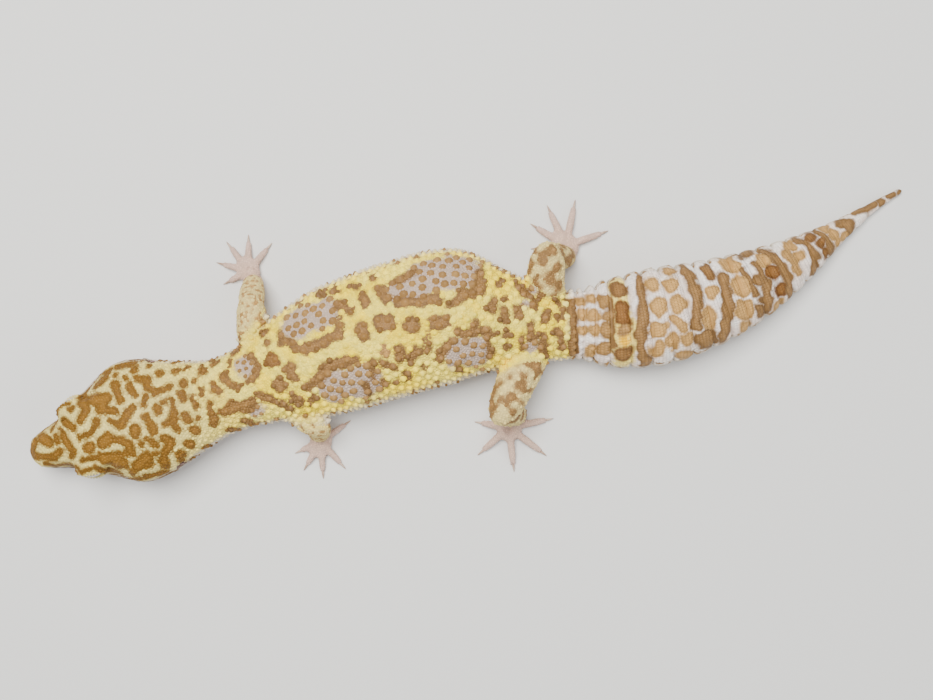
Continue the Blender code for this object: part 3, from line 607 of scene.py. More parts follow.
# How much the tail's rings widen or narrow its section.
def ringScale(at, turn, radius):
    ring, share, fade = ringPlace(at, turn)
    bulge = np.sin(np.pi * share) ** 0.6 - 0.65
    length = ringEdges[ring + 1] - ringEdges[ring]
    gap = np.minimum(share, 1 - share) * length
    groove = rings["groove"] * fade * np.exp(-(gap / rings["grooveWidth"]) ** 2)
    return 1 + rings["bulge"] * bulge * fade - groove / radius


# The trunk and tail are drawn on to their smooth sections, and the tail gets its rings.
def smoothBody(mesh):
    points = meshPoints(mesh)
    place = bodyPlace(points)
    limb = limbShare(place)
    share = ((1 - limb) * smoothStep(38, 47, place.at)
             * (1 - smoothStep(bodyLength - 3, bodyLength - 1, place.at)))
    radius = np.minimum(place.half, place.rise)
    scale = ringScale(place.at, place.turn, radius) / place.reach
    drawn = bodyPoint(place.at, place.side * scale, place.wide + place.lift * scale)
    setPoints(mesh, points + share[:, None] * (drawn - points))


# Divides the faces that are wanted finer, by where their middles are.
def refined(mesh, wanted):
    bm = bmesh.new()
    bm.from_mesh(mesh)
    bm.faces.ensure_lookup_table()
    middles = np.array([face.calc_center_median() for face in bm.faces])
    keep = wanted(middles)
    edges = {edge for face, kept in zip(bm.faces, keep) if kept for edge in face.edges}
    bmesh.ops.subdivide_edges(bm, edges=list(edges), cuts=1, use_grid_fill=True)
    bm.to_mesh(mesh)
    bm.free()


# An eye's middle and radius, and its own directions: the way it looks, ahead and up.
def eyeFrame(name, side):
    centre = nodeMiddle(name)
    low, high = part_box(name)
    back = headingAt(lids["at"])
    across = np.array([-back[1], back[0], 0]) * side
    ahead = -np.array([*back, 0])
    gaze = across * lids["gaze"][0] + ahead * lids["gaze"][1] + np.array([0, 0, lids["gaze"][2]])
    gaze /= np.linalg.norm(gaze)
    ahead = ahead - gaze * (ahead @ gaze)
    ahead /= np.linalg.norm(ahead)
    up = np.cross(gaze, ahead) * (1 if np.cross(gaze, ahead)[2] > 0 else -1)
    return SimpleNamespace(name=name, centre=centre, radius=(high.z - low.z) / 2 / mm,
                           ahead=ahead, up=up, gaze=gaze)


eyes = {name: eyeFrame("eye_" + name, side) for name, side in sides.items()}


# How far points are from an eye's middle, and how far out of its opening: 1 on the lids' edge.
def lidPlace(points, eye):
    off = points - eye.centre
    far = np.linalg.norm(off, axis=1)
    along, high, out = off @ eye.ahead / far, off @ eye.up / far, off @ eye.gaze / far
    opening = np.hypot(along * eye.radius / lids["length"], high * eye.radius / lids["height"])
    return off, far, high, np.where(out > 0.1, opening, 9)


# How far out of the nearer eye's opening points are, and 9 away from both eyes.
def lidOpening(points):
    opening = np.full(len(points), 9.0)
    for eye in eyes.values():
        _, far, _, here = lidPlace(points, eye)
        opening = np.where(far < lids["reach"], np.minimum(opening, here), opening)
    return opening


def lidEdge(eye, upper):  # the upper lid's edge stands further out than the lower one's
    return eye.radius + blended(lids["edge"], lids["upperEdge"], upper)


def shapeEyes(mesh):
    edges = meshEdges(mesh)
    for eye in eyes.values():
        points = meshPoints(mesh)
        off, far, high, opening = lidPlace(points, eye)
        near = far < 8
        upper = smoothStep(-0.1, 0.25, high)
        edge = lidEdge(eye, upper)
        # first the lids as a plain cap over the ball, which melts into the head where that is wider
        cap = edge + smoothStep(1.15, 1.6, opening) * (np.maximum(edge, far) - edge)
        share = near * (opening < 8)
        points = points + share[:, None] * (eye.centre + off / far[:, None] * cap[:, None] - points)
        points = evened(points, edges, 12, share * smoothStep(1.1, 1.4, opening))
        # then the crease above them and the opening between them
        off, far, high, opening = lidPlace(points, eye)
        upper = smoothStep(-0.1, 0.25, high)
        crease = lids["crease"] * np.exp(-((opening - 1.85) / 0.2) ** 2) * (0.3 + 0.7 * upper) * near
        points = points - crease[:, None] * off / far[:, None]
        inside = eye.radius - lids["inside"]
        share = near * (opening < 1.3)
        wanted = blended(inside, lidEdge(eye, upper), smoothStep(0.86, 1.04, opening))
        wanted += 0.14 * np.exp(-((opening - 1.12) / 0.1) ** 2)
        target = eye.centre + off / far[:, None] * wanted[:, None]
        share = share * (1 - smoothStep(1.15, 1.3, opening))
        setPoints(mesh, points + share[:, None] * (target - points))


# The height of the line of the mouth.
def mouthHeight(at):
    line = np.array(mouth["line"])
    return curveThrough(line[:, 0], line[:, 1], np.clip(at, line[0, 0], line[-1, 0]), True)


# Which points lie that near the line of the mouth, up to that far past its corner.
def byMouth(points, reach, past):
    at = bodyPlace(points).at
    return (np.abs(points[:, 2] - mouthHeight(at)) < reach) & (at < mouth["corner"] + past)


def shapeMouth(mesh):
    points = meshPoints(mesh)
    place = bodyPlace(points)
    off = points[:, 2] - mouthHeight(place.at)
    fade = 1 - smoothStep(mouth["corner"] - 2, mouth["corner"] + 1.5, place.at)
    out = points[:, :2] - middleAt(np.maximum(place.at, mouth["hub"]))
    out /= np.linalg.norm(out, axis=1, keepdims=True)
    groove = -mouth["groove"] * np.exp(-(off / mouth["width"]) ** 2)
    lip = mouth["lip"] * (np.exp(-((off - 0.6) / 0.4) ** 2) + 0.5 * np.exp(-((off + 0.6) / 0.4) ** 2))
    points[:, :2] += out * ((groove + lip) * fade)[:, None]
    setPoints(mesh, points)


nostrilSpots = []  # just under the skin, filled in as the nostrils are shaped


def nostrilSpot(side):
    return bodyPoint(nostrils["back"], np.array(side * nostrils["side"]), nostrils["up"])


def triangleCorners(mesh):
    mesh.calc_loop_triangles()
    corners = np.empty(len(mesh.loop_triangles) * 3, np.int32)
    mesh.loop_triangles.foreach_get("vertices", corners)
    return corners.reshape(-1, 3)


def meshTree(mesh):
    return BVHTree.FromPolygons(meshPoints(mesh).tolist(), triangleCorners(mesh).tolist())


# How far points are from the middle of an ear: 1 is the opening's edge.
def earFar(points):
    far = np.full(len(points), 9.0)
    at = bodyPlace(points).at
    for name in eardrums:
        middle = nodeMiddle(name)
        back = (at - bodyPlace(middle[None]).at[0]) / ears["long"]
        here = np.hypot(back, (points[:, 2] - middle[2]) / ears["high"])
        near = np.abs(points[:, 1] - middle[1]) < ears["reach"]
        far = np.where(near, np.minimum(far, here), far)
    return far


# The nostrils, and the ear openings with the eardrums at their bottom.
def shapePits(mesh):
    points, normals = meshPoints(mesh), meshNormals(mesh)
    tree = meshTree(mesh)
    for side in sides.values():
        place, normal = (np.array(found) for found in tree.find_nearest(Vector(nostrilSpot(side)))[:2])
        nostrilSpots.append(place - 0.3 * normal)
        far = np.linalg.norm(points - place, axis=1) / nostrils["radius"]
        points = points - normal * (nostrils["depth"] * np.exp(-far ** 4))[:, None]
        points = points + normals * (nostrils["rim"] * np.exp(-((far - 1.6) / 0.5) ** 2))[:, None]
    for name in eardrums:
        middle = nodeMiddle(name)
        place = bodyPlace(points)
        spot = bodyPlace(middle[None])
        near = np.sign(place.side) == np.sign(spot.side)
        out = np.abs(place.side) - np.abs(spot.side)
        far = np.hypot((place.at - spot.at) / ears["long"], (points[:, 2] - middle[2]) / ears["high"])
        near = near & (np.abs(out) < ears["reach"])
        across = headingAt(spot.at)[0]
        inward = -np.array([-across[1], across[0], 0]) * np.sign(spot.side[0])
        floor = np.maximum(out + ears["depth"], 0)  # down to just behind the eardrum
        points = points + inward * (near * floor * (1 - smoothStep(0.72, 1.12, far)))[:, None]
        points = points - inward * (near * ears["rim"] * np.exp(-((far - 1.4) / 0.28) ** 2))[:, None]
        points = evened(points, meshEdges(mesh), 3, near * (far > 0.6) * (far < 1.5) * 1.0)
    setPoints(mesh, points)


# The skin moves in, so that the tops of the scales reach about where the flesh did.
def sinkForCoat(mesh):
    points, normals = meshPoints(mesh), meshNormals(mesh)
    place = bodyPlace(points)
    limb = limbShare(place)
    head = 1 - smoothStep(38, 48, place.at)
    tail = smoothStep(124, 130, place.at)
    depth = skinForm["bodyDepth"] * (1 - head) * (1 - tail)
    depth += skinForm["headDepth"] * head + skinForm["tailDepth"] * tail
    under = smoothStep(100, 130, place.back)
    depth = blended(depth, skinForm["bellyDepth"], under * (1 - tail) * (1 - head))
    toes = 1 - smoothStep(2.0, 3.5, points[:, 2])
    depth = blended(depth, blended(skinForm["limbDepth"], skinForm["toeDepth"], toes), limb)
    depth += skinForm["seal"] * np.maximum(limb * (1 - toes), head)
    points = points - normals * depth[:, None]
    points[:, 2] = np.maximum(points[:, 2], skinForm["floor"])
    setPoints(mesh, points)


def nearFeatures(points):
    found = byMouth(points, 1.1, 2) | (lidOpening(points) < 2.6) | (bodyPlace(points).at < 4.5)
    for name in eardrums:
        found |= np.linalg.norm(points - nodeMiddle(name), axis=1) < 3.4
    return found


def nearFineEdges(points):
    opening, ear = lidOpening(points), earFar(points)
    found = byMouth(points, 0.5, 2)
    found |= (opening > 0.7) & (opening < 1.3)
    found |= (ear > 0.4) & (ear < 1.5)
    for side in sides.values():
        found |= np.linalg.norm(points - nostrilSpot(side), axis=1) < 1.5
    return found


# The skin without its colours. Each stage needs the one before it.
def buildSkin():
    form = skinForm
    piece = sealedFlesh()
    mesh = piece.data
    points = meshPoints(mesh)
    toes = limbShare(bodyPlace(points)) * (1 - smoothStep(2.2, 4.0, points[:, 2]))
    setPoints(mesh, evened(points, meshEdges(mesh), form["evenings"], 1 - 0.93 * toes))
    smoothBody(mesh)
    refined(mesh, nearFeatures)
    points = meshPoints(mesh)
    at = bodyPlace(points).at
    points = evened(points, meshEdges(mesh), form["headEvenings"], (at < bodyAt["fineEnd"]) * 1.0)
    lips = (np.abs(points[:, 2] - mouthHeight(at)) < 0.75) & (at < mouth["corner"] + 3.5)
    setPoints(mesh, evened(points, meshEdges(mesh), form["lipEvenings"], lips * 1.0, (0.5,)))
    sinkForCoat(mesh)  # before the fine forms, which it would widen
    refined(mesh, nearFineEdges)
    points = meshPoints(mesh)
    head = bodyPlace(points).at < bodyAt["fineEnd"]
    setPoints(mesh, evened(points, meshEdges(mesh), form["lastEvenings"], head * 1.0))
    shapeEyes(mesh)
    shapeMouth(mesh)
    shapePits(mesh)
    print("skin shaped:", len(mesh.polygons), "faces")
    return piece


# The last of the skin's own work: fewer faces, its colours, and the painted shade of its pits and of the
# line of its mouth.
def finishSkin(piece, finish):
    thin = piece.modifiers.new("Thin", "DECIMATE")  # fewer faces where the skin is smooth
    thin.ratio = skinForm["kept"]
    applied(piece)
    mesh = piece.data
    print("skin finished:", sum(len(face.vertices) - 2 for face in mesh.polygons), "triangles")
    points = meshPoints(mesh)
    setAttributes(mesh, marksAt(points))
    at = bodyPlace(points).at
    # Painted shade: the line of the mouth, the ear openings and the nostrils go darker where they sink in.
    line = np.abs(points[:, 2] - mouthHeight(at)) / mouth["width"]
    pit = (1 - smoothStep(0.5, 1.2, line)) * (1 - smoothStep(0, 1, at - mouth["corner"]))
    pit = np.maximum(pit, 1 - smoothStep(0.9, 1.3, earFar(points)))
    for spot in nostrilSpots:
        far = np.linalg.norm(points - spot, axis=1) / nostrils["radius"]
        pit = np.maximum(pit, 1 - smoothStep(0.8, 1.25, far))
    setAttributes(mesh, dict(tone=np.stack([np.full(len(pit), 0.5), np.zeros(len(pit)), pit], -1)))
    mesh.shade_smooth()
    setPoints(mesh, points * mm)
    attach(piece, "root")
    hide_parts(*fleshNodes)
    mesh.materials.append(finish)


skinColours = dict(
    cream=(0.77, 0.64, 0.21), yellow=(0.93, 0.70, 0.015), paleYellow=(0.90, 0.74, 0.10),
    lavender=(0.51, 0.39, 0.31), tailWhite=(0.96, 0.89, 0.83), tailPink=(0.90, 0.76, 0.67),
    gold=(0.95, 0.50, 0.0), straw=(0.94, 0.74, 0.20), limb=(0.74, 0.59, 0.23),
    toes=(0.68, 0.46, 0.38), flank=(0.64, 0.56, 0.44), belly=(0.70, 0.56, 0.48),
    tan=(0.61, 0.345, 0.105), brown=(0.275, 0.145, 0.048), dark=(0.20, 0.075, 0.012),
    # the last colour is painted shade for the line of the mouth, the ear openings and the nostrils
    crown=(0.24, 0.108, 0.006), pit=(0.20, 0.09, 0.06))


# A short way to lay out a material's nodes: each call makes one node and gives back its output.
class Shader:
    def __init__(self, name):
        self.material = bpy.data.materials.new(name)
        self.material.use_nodes = True
        self.tree = self.material.node_tree
        self.surface = self.tree.nodes["Principled BSDF"]

    def put(self, socket, value):
        if isinstance(value, bpy.types.NodeSocket):
            self.tree.links.new(value, socket)
        elif isinstance(value, tuple) and len(value) == 3 and socket.type == "RGBA":
            socket.default_value = (*value, 1)
        else:
            socket.default_value = value

    def math(self, kind, *values, clamp=False):
        node = self.tree.nodes.new("ShaderNodeMath")
        node.operation = kind
        node.use_clamp = clamp
        for socket, value in zip(node.inputs, values):
            self.put(socket, value)
        return node.outputs[0]

    def step(self, value, low, high, bottom=0.0, top=1.0):
        node = self.tree.nodes.new("ShaderNodeMapRange")
        node.interpolation_type = "SMOOTHSTEP"
        for name, given in zip(("Value", "From Min", "From Max", "To Min", "To Max"),
                               (value, low, high, bottom, top)):
            self.put(node.inputs[name], given)
        return node.outputs[0]

    def mix(self, share, first, second, kind="MIX"):
        node = self.tree.nodes.new("ShaderNodeMix")
        node.data_type = "RGBA"
        node.blend_type = kind
        for name, given in zip(("Factor", "A", "B"), (share, first, second)):
            self.put(node.inputs[name], given)
        return node.outputs["Result"]

    def attribute(self, name):
        node = self.tree.nodes.new("ShaderNodeAttribute")
        node.attribute_name = name
        parts = self.tree.nodes.new("ShaderNodeSeparateXYZ")
        self.tree.links.new(node.outputs["Vector"], parts.inputs[0])
        return node.outputs["Vector"], parts.outputs["X"], parts.outputs["Y"], parts.outputs["Z"]

    def noise(self, scale, detail, place=None):
        node = self.tree.nodes.new("ShaderNodeTexNoise")
        node.inputs["Scale"].default_value = scale
        node.inputs["Detail"].default_value = detail
        if place is None:
            spot = self.tree.nodes.new("ShaderNodeTexCoord")
            place = spot.outputs["Object"]
        self.tree.links.new(place, node.inputs["Vector"])
        return node.outputs["Fac"]

    def bump(self, height, distance):
        node = self.tree.nodes.new("ShaderNodeBump")
        node.inputs["Distance"].default_value = distance
        self.tree.links.new(height, node.inputs["Height"])
        self.tree.links.new(node.outputs["Normal"], self.surface.inputs["Normal"])


# The finish of the skin and of its scales, which read the same marks. A point's marks are how far
# inside the brown it is, how dark that is, and how far inside the lavender, its zones are the
# underside, tail and limbs, its extra is the gold, toes and head, and its tone is a scale's own
# chance and paleness and the painted shade of a pit. The last number darkens the whole finish, as
# painted shade for skin that lies sunk between and under the scales.
def geckoSkin(name, roughness, sunkShadeLevel):
    shade = Shader(name)
    c = skinColours
    _, brownField, dark, lavenderField = shade.attribute("marks")
    _, under, tail, limb = shade.attribute("zones")
    _, goldField, toes, head = shade.attribute("extra")
    _, chance, bead, pit = shade.attribute("tone")
    waver = shade.math("SUBTRACT", shade.noise(1300, 2), 0.5)
    broad = shade.noise(160, 3)
    brownMask = shade.step(shade.math("MULTIPLY_ADD", waver, 0.7, brownField), -0.6, 0.24)
    lavenderMask = shade.step(shade.math("MULTIPLY_ADD", waver, 1.2, lavenderField), -0.8, 0.6)
    goldWave = shade.math("MULTIPLY_ADD", waver, 1.6, goldField)
    ground = shade.mix(shade.step(broad, 0.38, 0.6), c["yellow"], c["paleYellow"])
    ground = shade.mix(head, ground, c["cream"])
    tailGround = shade.mix(shade.step(broad, 0.42, 0.6), c["tailPink"], c["tailWhite"])
    ground = shade.mix(tail, ground, tailGround)
    ground = shade.mix(limb, ground, c["limb"])
    ground = shade.mix(lavenderMask, ground, c["lavender"])
    ground = shade.mix(shade.step(goldWave, -0.5, 0.6), ground, c["straw"])
    ground = shade.mix(shade.step(goldWave, 1.5, 3.0), ground, c["gold"])
    ground = shade.mix(shade.step(under, 0.0, 0.3), ground, c["flank"])
    ground = shade.mix(shade.step(under, 0.4, 1.0), ground, c["belly"])
    mark = shade.mix(shade.step(dark, 0.0, 0.5), c["tan"], c["brown"])
    mark = shade.mix(shade.step(dark, 0.5, 1.0), mark, c["dark"])
    mark = shade.mix(head, mark, c["crown"])
    core = shade.step(brownField, 0.1, 1.2, 0.0, 0.09)
    mark = shade.mix(core, mark, c["tan"])
    colour = shade.mix(brownMask, ground, mark)
    colour = shade.mix(shade.step(toes, 0.0, 0.9, 0.0, 0.85), colour, c["toes"])
    pale = shade.mix(1.0, colour, (1.18, 1.17, 1.06), "MULTIPLY")
    colour = shade.mix(bead, colour, pale)
    # Painted shade in the line of the mouth, the ear openings and the nostrils.
    colour = shade.mix(pit, colour, c["pit"])
    fleck = shade.math("MULTIPLY_ADD", chance, 0.22, 0.89)
    # Random grime, times a level that darkens the whole finish as painted shade where the skin lies sunk
    # under the scales.
    grimeAndSunkShade = shade.step(shade.noise(420, 4), 0.3, 0.7, 0.94 * sunkShadeLevel, 1.04 * sunkShadeLevel)
    # A mark is darkest just inside its edge.
    edge = shade.math("MULTIPLY", shade.step(brownField, -0.1, 0.25),
                      shade.step(brownField, 0.3, 1.0, 0.28, 0.0))
    rim = shade.math("SUBTRACT", 1.0, edge)
    level = shade.math("MULTIPLY", shade.math("MULTIPLY", fleck, grimeAndSunkShade), rim)
    tint = shade.tree.nodes.new("ShaderNodeCombineColor")
    for socket in tint.inputs[:3]:
        shade.tree.links.new(level, socket)
    colour = shade.mix(1.0, colour, tint.outputs[0], "MULTIPLY")
    shade.put(shade.surface.inputs["Base Color"], colour)
    shade.put(shade.surface.inputs["Roughness"],
              shade.step(shade.noise(700, 3), 0.3, 0.7, roughness - 0.07, roughness + 0.1))
    shade.surface.inputs["Specular IOR Level"].default_value = 0.24
    shade.bump(shade.noise(5200, 3), 0.00006)
    return shade.material


# A veined silvery iris and an upright pupil with wavy edges, under a wet coat.
def eyeGlass():
    shade = Shader("wetEye")
    gaze, across, high, _ = shade.attribute("gaze")
    radial = shade.math("SQRT", shade.math("ADD", shade.math("MULTIPLY", across, across),
                                           shade.math("MULTIPLY", high, high)))
    tall = shade.math("DIVIDE", high, 0.5)
    lens = shade.math("SQRT", shade.math("SUBTRACT", 1.0, shade.math("MULTIPLY", tall, tall), clamp=True))
    lobes = shade.math("SINE", shade.math("MULTIPLY", high, 38.0))
    slit = shade.math("MULTIPLY", lens, shade.math("MULTIPLY_ADD", lobes, 0.012, 0.085))
    pupil = shade.step(shade.math("SUBTRACT", slit, shade.math("ABSOLUTE", across)), -0.012, 0.012)
    veins = shade.noise(9.0, 5, gaze)
    iris = shade.mix(shade.step(veins, 0.36, 0.62), (0.20, 0.13, 0.10), (0.46, 0.37, 0.31))
    iris = shade.mix(shade.step(radial, 0.12, 0.34, 0.5, 0.0), iris, (0.55, 0.30, 0.12))
    iris = shade.mix(shade.step(radial, 0.5, 0.68), iris, (0.05, 0.03, 0.02))
    colour = shade.mix(pupil, iris, (0.004, 0.003, 0.003))
    shade.put(shade.surface.inputs["Base Color"], colour)
    shade.surface.inputs["Roughness"].default_value = 0.16
    shade.surface.inputs["Coat Weight"].default_value = 1.0
    shade.surface.inputs["Coat Roughness"].default_value = 0.03
    return shade.material


def clawHorn():
    shade = Shader("clawHorn")
    streaks = shade.step(shade.noise(900, 2), 0.35, 0.65)
    colour = shade.mix(streaks, (0.60, 0.44, 0.34), (0.42, 0.27, 0.19))
    shade.put(shade.surface.inputs["Base Color"], colour)
    shade.surface.inputs["Roughness"].default_value = 0.32
    return shade.material


def eardrumSkin():
    shade = Shader("eardrumSkin")
    clouds = shade.step(shade.noise(1500, 2), 0.35, 0.65)
    colour = shade.mix(clouds, (0.24, 0.11, 0.08), (0.14, 0.06, 0.045))
    shade.put(shade.surface.inputs["Base Color"], colour)
    shade.surface.inputs["Roughness"].default_value = 0.4
    return shade.material


def buildEye(name, finish):
    eye = eyes[name]
    bm = bmesh.new()
    bmesh.ops.create_uvsphere(bm, u_segments=56, v_segments=40, radius=eye.radius)
    turn = Vector((0, 0, 1)).rotation_difference(Vector(eye.gaze))
    bmesh.ops.rotate(bm, verts=bm.verts, cent=(0, 0, 0), matrix=turn.to_matrix())
    for vertex in bm.verts:  # the cornea stands a little out of the ball
        out = vertex.co.normalized().dot(Vector(eye.gaze))
        vertex.co *= 1 + 0.03 * max(0.0, (out - 0.72) / 0.28) ** 0.7
    piece = finishedPiece("eyeball_" + name, bm)
    mesh = piece.data
    off = meshPoints(mesh)
    unit = off / np.linalg.norm(off, axis=1, keepdims=True)
    setAttributes(mesh, dict(gaze=np.stack([unit @ eye.ahead, unit @ eye.up, unit @ eye.gaze], -1)))
    mesh.shade_smooth()
    setPoints(mesh, (off + eye.centre) * mm)
    mesh.materials.append(finish)
    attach(piece, "root")
    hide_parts(eye.name)


def buildEardrum(name, finish):  # a thin skin that bulges a little in the bottom of the ear
    low, high = (Vector(corner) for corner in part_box(name))
    bm = bmesh.new()
    bmesh.ops.create_uvsphere(bm, u_segments=24, v_segments=14, radius=0.5)
    bmesh.ops.scale(bm, vec=high - low, verts=bm.verts)
    bmesh.ops.translate(bm, vec=(low + high) / 2, verts=bm.verts)
    piece = finishedPiece(name + "_skin", bm)
    piece.data.shade_smooth()
    piece.data.materials.append(finish)
    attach(piece, "root")
    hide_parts(name)


clawForm = dict(root=0.5, base=0.4, tip=0.05, slim=0.8, flat=0.85, hook=1.8, sides=10, steps=9)


# A claw from inside the toe's end to its tip, along the solid claw that it stands for.
def clawShape(bm, name, palm):
    form = clawForm
    solid = meshPoints(nodes[name].data) / mm
    middle = solid.mean(0)
    way = np.linalg.svd(solid[:, :2] - middle[:2])[2][0]
    way = way * (1 if way @ (middle[:2] - palm) > 0 else -1)
    run = (solid[:, :2] - middle[:2]) @ way
    start, end = run.min() - form["root"], run.max() + 0.05
    rootUp = solid[run < run.min() + 0.3, 2].mean()
    tipUp = solid[run > run.max() - 0.2, 2].mean()
    made = bmesh.ops.create_uvsphere(bm, u_segments=form["sides"], v_segments=form["steps"], radius=1)
    for vertex in made["verts"]:
        share = (1 - vertex.co.z) / 2
        angle = math.atan2(vertex.co.y, vertex.co.x)
        thick = blended(form["tip"], form["base"], (1 - share) ** form["slim"])
        thick *= math.sqrt(max(0.0, 1 - (2 * share - 1) ** 8))
        spot = middle[:2] + way * blended(start, end, share)
        side = thick * math.cos(angle) * form["flat"]
        up = blended(rootUp, tipUp, share ** form["hook"]) + thick * math.sin(angle)
        vertex.co = (spot[0] - way[1] * side, spot[1] + way[0] * side, max(up, 0.06))


def buildClaws(limb, finish):
    claws = sorted(n for n in nodes if n.startswith("claw_" + limb))
    palm = limbLines[limb][-1, :2]
    bm = bmesh.new()
    for name in claws:
        clawShape(bm, name, palm)
    bmesh.ops.recalc_face_normals(bm, faces=bm.faces)
    bmesh.ops.scale(bm, vec=(mm,) * 3, verts=bm.verts)
    piece = finishedPiece("claws_" + limb, bm)
    piece.data.shade_smooth()
    piece.data.materials.append(finish)
    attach(piece, "root")
    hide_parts(*claws)


# Gap is the distance between neighbours, and high how far a scale stands up.
coatForm = dict(faceGap=0.47, crownGap=0.52, throatGap=0.5, backGap=0.5, limbGap=0.46, toeGap=0.38,
                lidGap=0.38, fineHigh=0.13, faceHigh=0.11, limbHigh=0.11, toeHigh=0.08,
                usualSize=0.36, widest=0.56)
settling = dict(neighbours=6, spacing=1.22, push=0.28)
tubercles = dict(backGap=1.62, patchGap=1.8, flankGap=1.2, neckGap=1.35, napeGap=1.15, limbGap=1.55,
                 wide=0.76, patchWide=0.9, flankWide=0.58, neckWide=0.52, limbWide=0.42,
                 high=0.7, flankHigh=0.66, neckHigh=0.45, limbHigh=0.26, napeLess=0.25, vary=0.24)
tailScales = dict(long=0.76, wide=0.66, high=0.065, tipStep=0.5, frontEnd=160,
                  tubercleRings=9, tubercleGap=1.9, tubercle=0.66)
bellyScales = dict(start=45.5, edge=120, long=1.05, wide=1.0, high=0.13)
lipScales = dict(reach=0.5, front=2.3, behind=1.5, high=1.0, stand=0.18, rostral=2.7)
lidScales = dict(count=30, long=0.5, wide=0.38, high=0.3, rings=(1.07, 1.22))


# A dome or a plate: rings of (size, height) round a middle, with a number of sides.
def scaleShape(sides, steps, top, square=2.0):
    angle = (np.arange(sides) + 0.5) * 2 * math.pi / sides
    cos, sin = np.cos(angle), np.sin(angle)
    size = (np.abs(cos) ** square + np.abs(sin) ** square) ** (-1 / square)
    rows = [np.stack([cos * size * r, sin * size * r, np.full(sides, h)], -1) for r, h in steps]
    points = np.concatenate([*rows, [[0, 0, top]]])
    faces = []
    for row in range(len(steps) - 1):
        for k in range(sides):
            a, b = row * sides + k, row * sides + (k + 1) % sides
            faces.append((a, b, b + sides, a + sides))
    last = (len(steps) - 1) * sides
    faces += [(last + k, last + (k + 1) % sides, len(points) - 1) for k in range(sides)]
    return points, faces


granule = scaleShape(6, ((1.0, -0.35), (0.74, 0.72)), 1.0)
cone = scaleShape(8, ((1.12, -0.25), (0.9, 0.22), (0.56, 0.72), (0.24, 0.97)), 1.03)
plate = scaleShape(8, ((1.0, -0.6), (0.84, 0.8)), 1.0, 4.0)


# All the points of the scales, a row for each root.
def scalePoints(pattern, roots):
    count, n = len(roots["place"]), len(pattern)
    normal = roots["normal"]
    along = roots["along"] - normal * (roots["along"] * normal).sum(1, keepdims=True)
    along /= np.linalg.norm(along, axis=1, keepdims=True)
    across = np.cross(normal, along)
    spin = roots["spin"][:, None]
    along, across = (along * np.cos(spin) + across * np.sin(spin),
                     across * np.cos(spin) - along * np.sin(spin))
    x, y, z = pattern.T
    points = (roots["place"][:, None]
              + along[:, None] * (x * roots["long"][:, None] + z * roots["lean"][:, None])[..., None]
              + across[:, None] * (y * roots["wide"][:, None])[..., None]
              + normal[:, None] * (z * roots["high"][:, None])[..., None])
    # The edge of each scale follows the skin, and so does the whole of a plate.
    hug = n if roots["plates"] else int((z < 0).sum())
    onSkin, way = surfaceNormals(points[:, :hug].reshape(-1, 3))
    rise = np.where(z[:hug] < 0, -0.04, z[:hug] * roots["high"][:, None])
    points[:, :hug] = (onSkin + way * rise.reshape(-1, 1)).reshape(count, hug, 3)
    points[..., 2] = np.maximum(points[..., 2], 0.03)
    return points


# One mesh of all the scales, with the numbers of its faces' corners.
def scaleMesh(name, points, faces):
    count, n = points.shape[:2]
    sizes = [len(face) for face in faces]
    corners = (np.arange(count)[:, None] * n + np.concatenate(faces)).ravel()
    mesh = bpy.data.meshes.new(name)
    mesh.vertices.add(count * n)
    mesh.loops.add(len(corners))
    mesh.polygons.add(count * len(faces))
    mesh.vertices.foreach_set("co", (points * mm).astype(np.float32).ravel())
    mesh.loops.foreach_set("vertex_index", corners.astype(np.int32))
    starts = np.r_[0, np.cumsum(np.tile(sizes, count))[:-1]]
    mesh.polygons.foreach_set("loop_start", starts.astype(np.int32))
    mesh.update(calc_edges=True)
    mesh.shade_smooth()
    return mesh, corners


# Puts a shape at every root, as one piece with its colours and its unwrap.
def plantScales(name, shape, roots, finish, blocks):
    pattern, faces = shape
    n = len(pattern)
    points = scalePoints(pattern, roots)
    mesh, corners = scaleMesh(name, points, faces)
    if roots["plates"]:  # a mark may end halfway over a plate
        values = marksAt(points.reshape(-1, 3))
    else:
        values = marksAt(roots["place"])
        if roots["change"]:
            roots["change"](values, roots)
        values = {key: np.repeat(value, n, 0) for key, value in values.items()}
    setAttributes(mesh, values)
    tone = np.stack([roots["chance"], roots["bead"], np.zeros(len(points))], -1)
    setAttributes(mesh, dict(tone=np.repeat(tone, n, 0)))
    patch = pattern[:, :2] / np.abs(pattern[:, :2]).max() * 0.0015
    spread = (bakePlace(roots["place"], blocks)[:, None] + patch).reshape(-1, 2)
    bake = mesh.uv_layers.new(name="OFBake")
    bake.data.foreach_set("uv", spread[corners].astype(np.float32).ravel())
    piece = bpy.data.objects.new(name, mesh)
    bpy.context.scene.collection.objects.link(piece)
    mesh.materials.append(finish)
    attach(piece, "root")
    triangles = len(points) * sum(len(face) - 2 for face in faces)
    print(name, len(points), "scales,", triangles, "triangles")
    return triangles


# The coat's unwrap: the body by distance and turn, and a limb with its foot and sole beside it.
def bakePlace(points, blocks):
    if blocks == "body":
        place = bodyPlace(points)
        low, high = place.at.min() - 0.5, place.at.max() + 0.5
        return np.stack([0.01 + 0.98 * (place.at - low) / (high - low),
                         0.01 + 0.98 * (place.turn + math.pi) / (2 * math.pi)], -1)
    place = limbPlace(points)
    foot = points[:, 2] < 2.6
    sole = foot & (points[:, 2] < 0.7)
    u = 0.01 + 0.47 * place.along / (place.along.max() + 1)
    v = 0.01 + 0.98 * (place.around + math.pi) / (2 * math.pi)
    low, high = points[:, :2].min(0) - 1, points[:, :2].max(0) + 1
    plan = 0.47 * (points[:, :2] - low) / (high - low)
    u = np.where(foot, 0.51 + plan[:, 0], u)
    v = np.where(foot, np.where(sole, 0.51, 0.01) + plan[:, 1], v)
    return np.stack([u, v], -1)


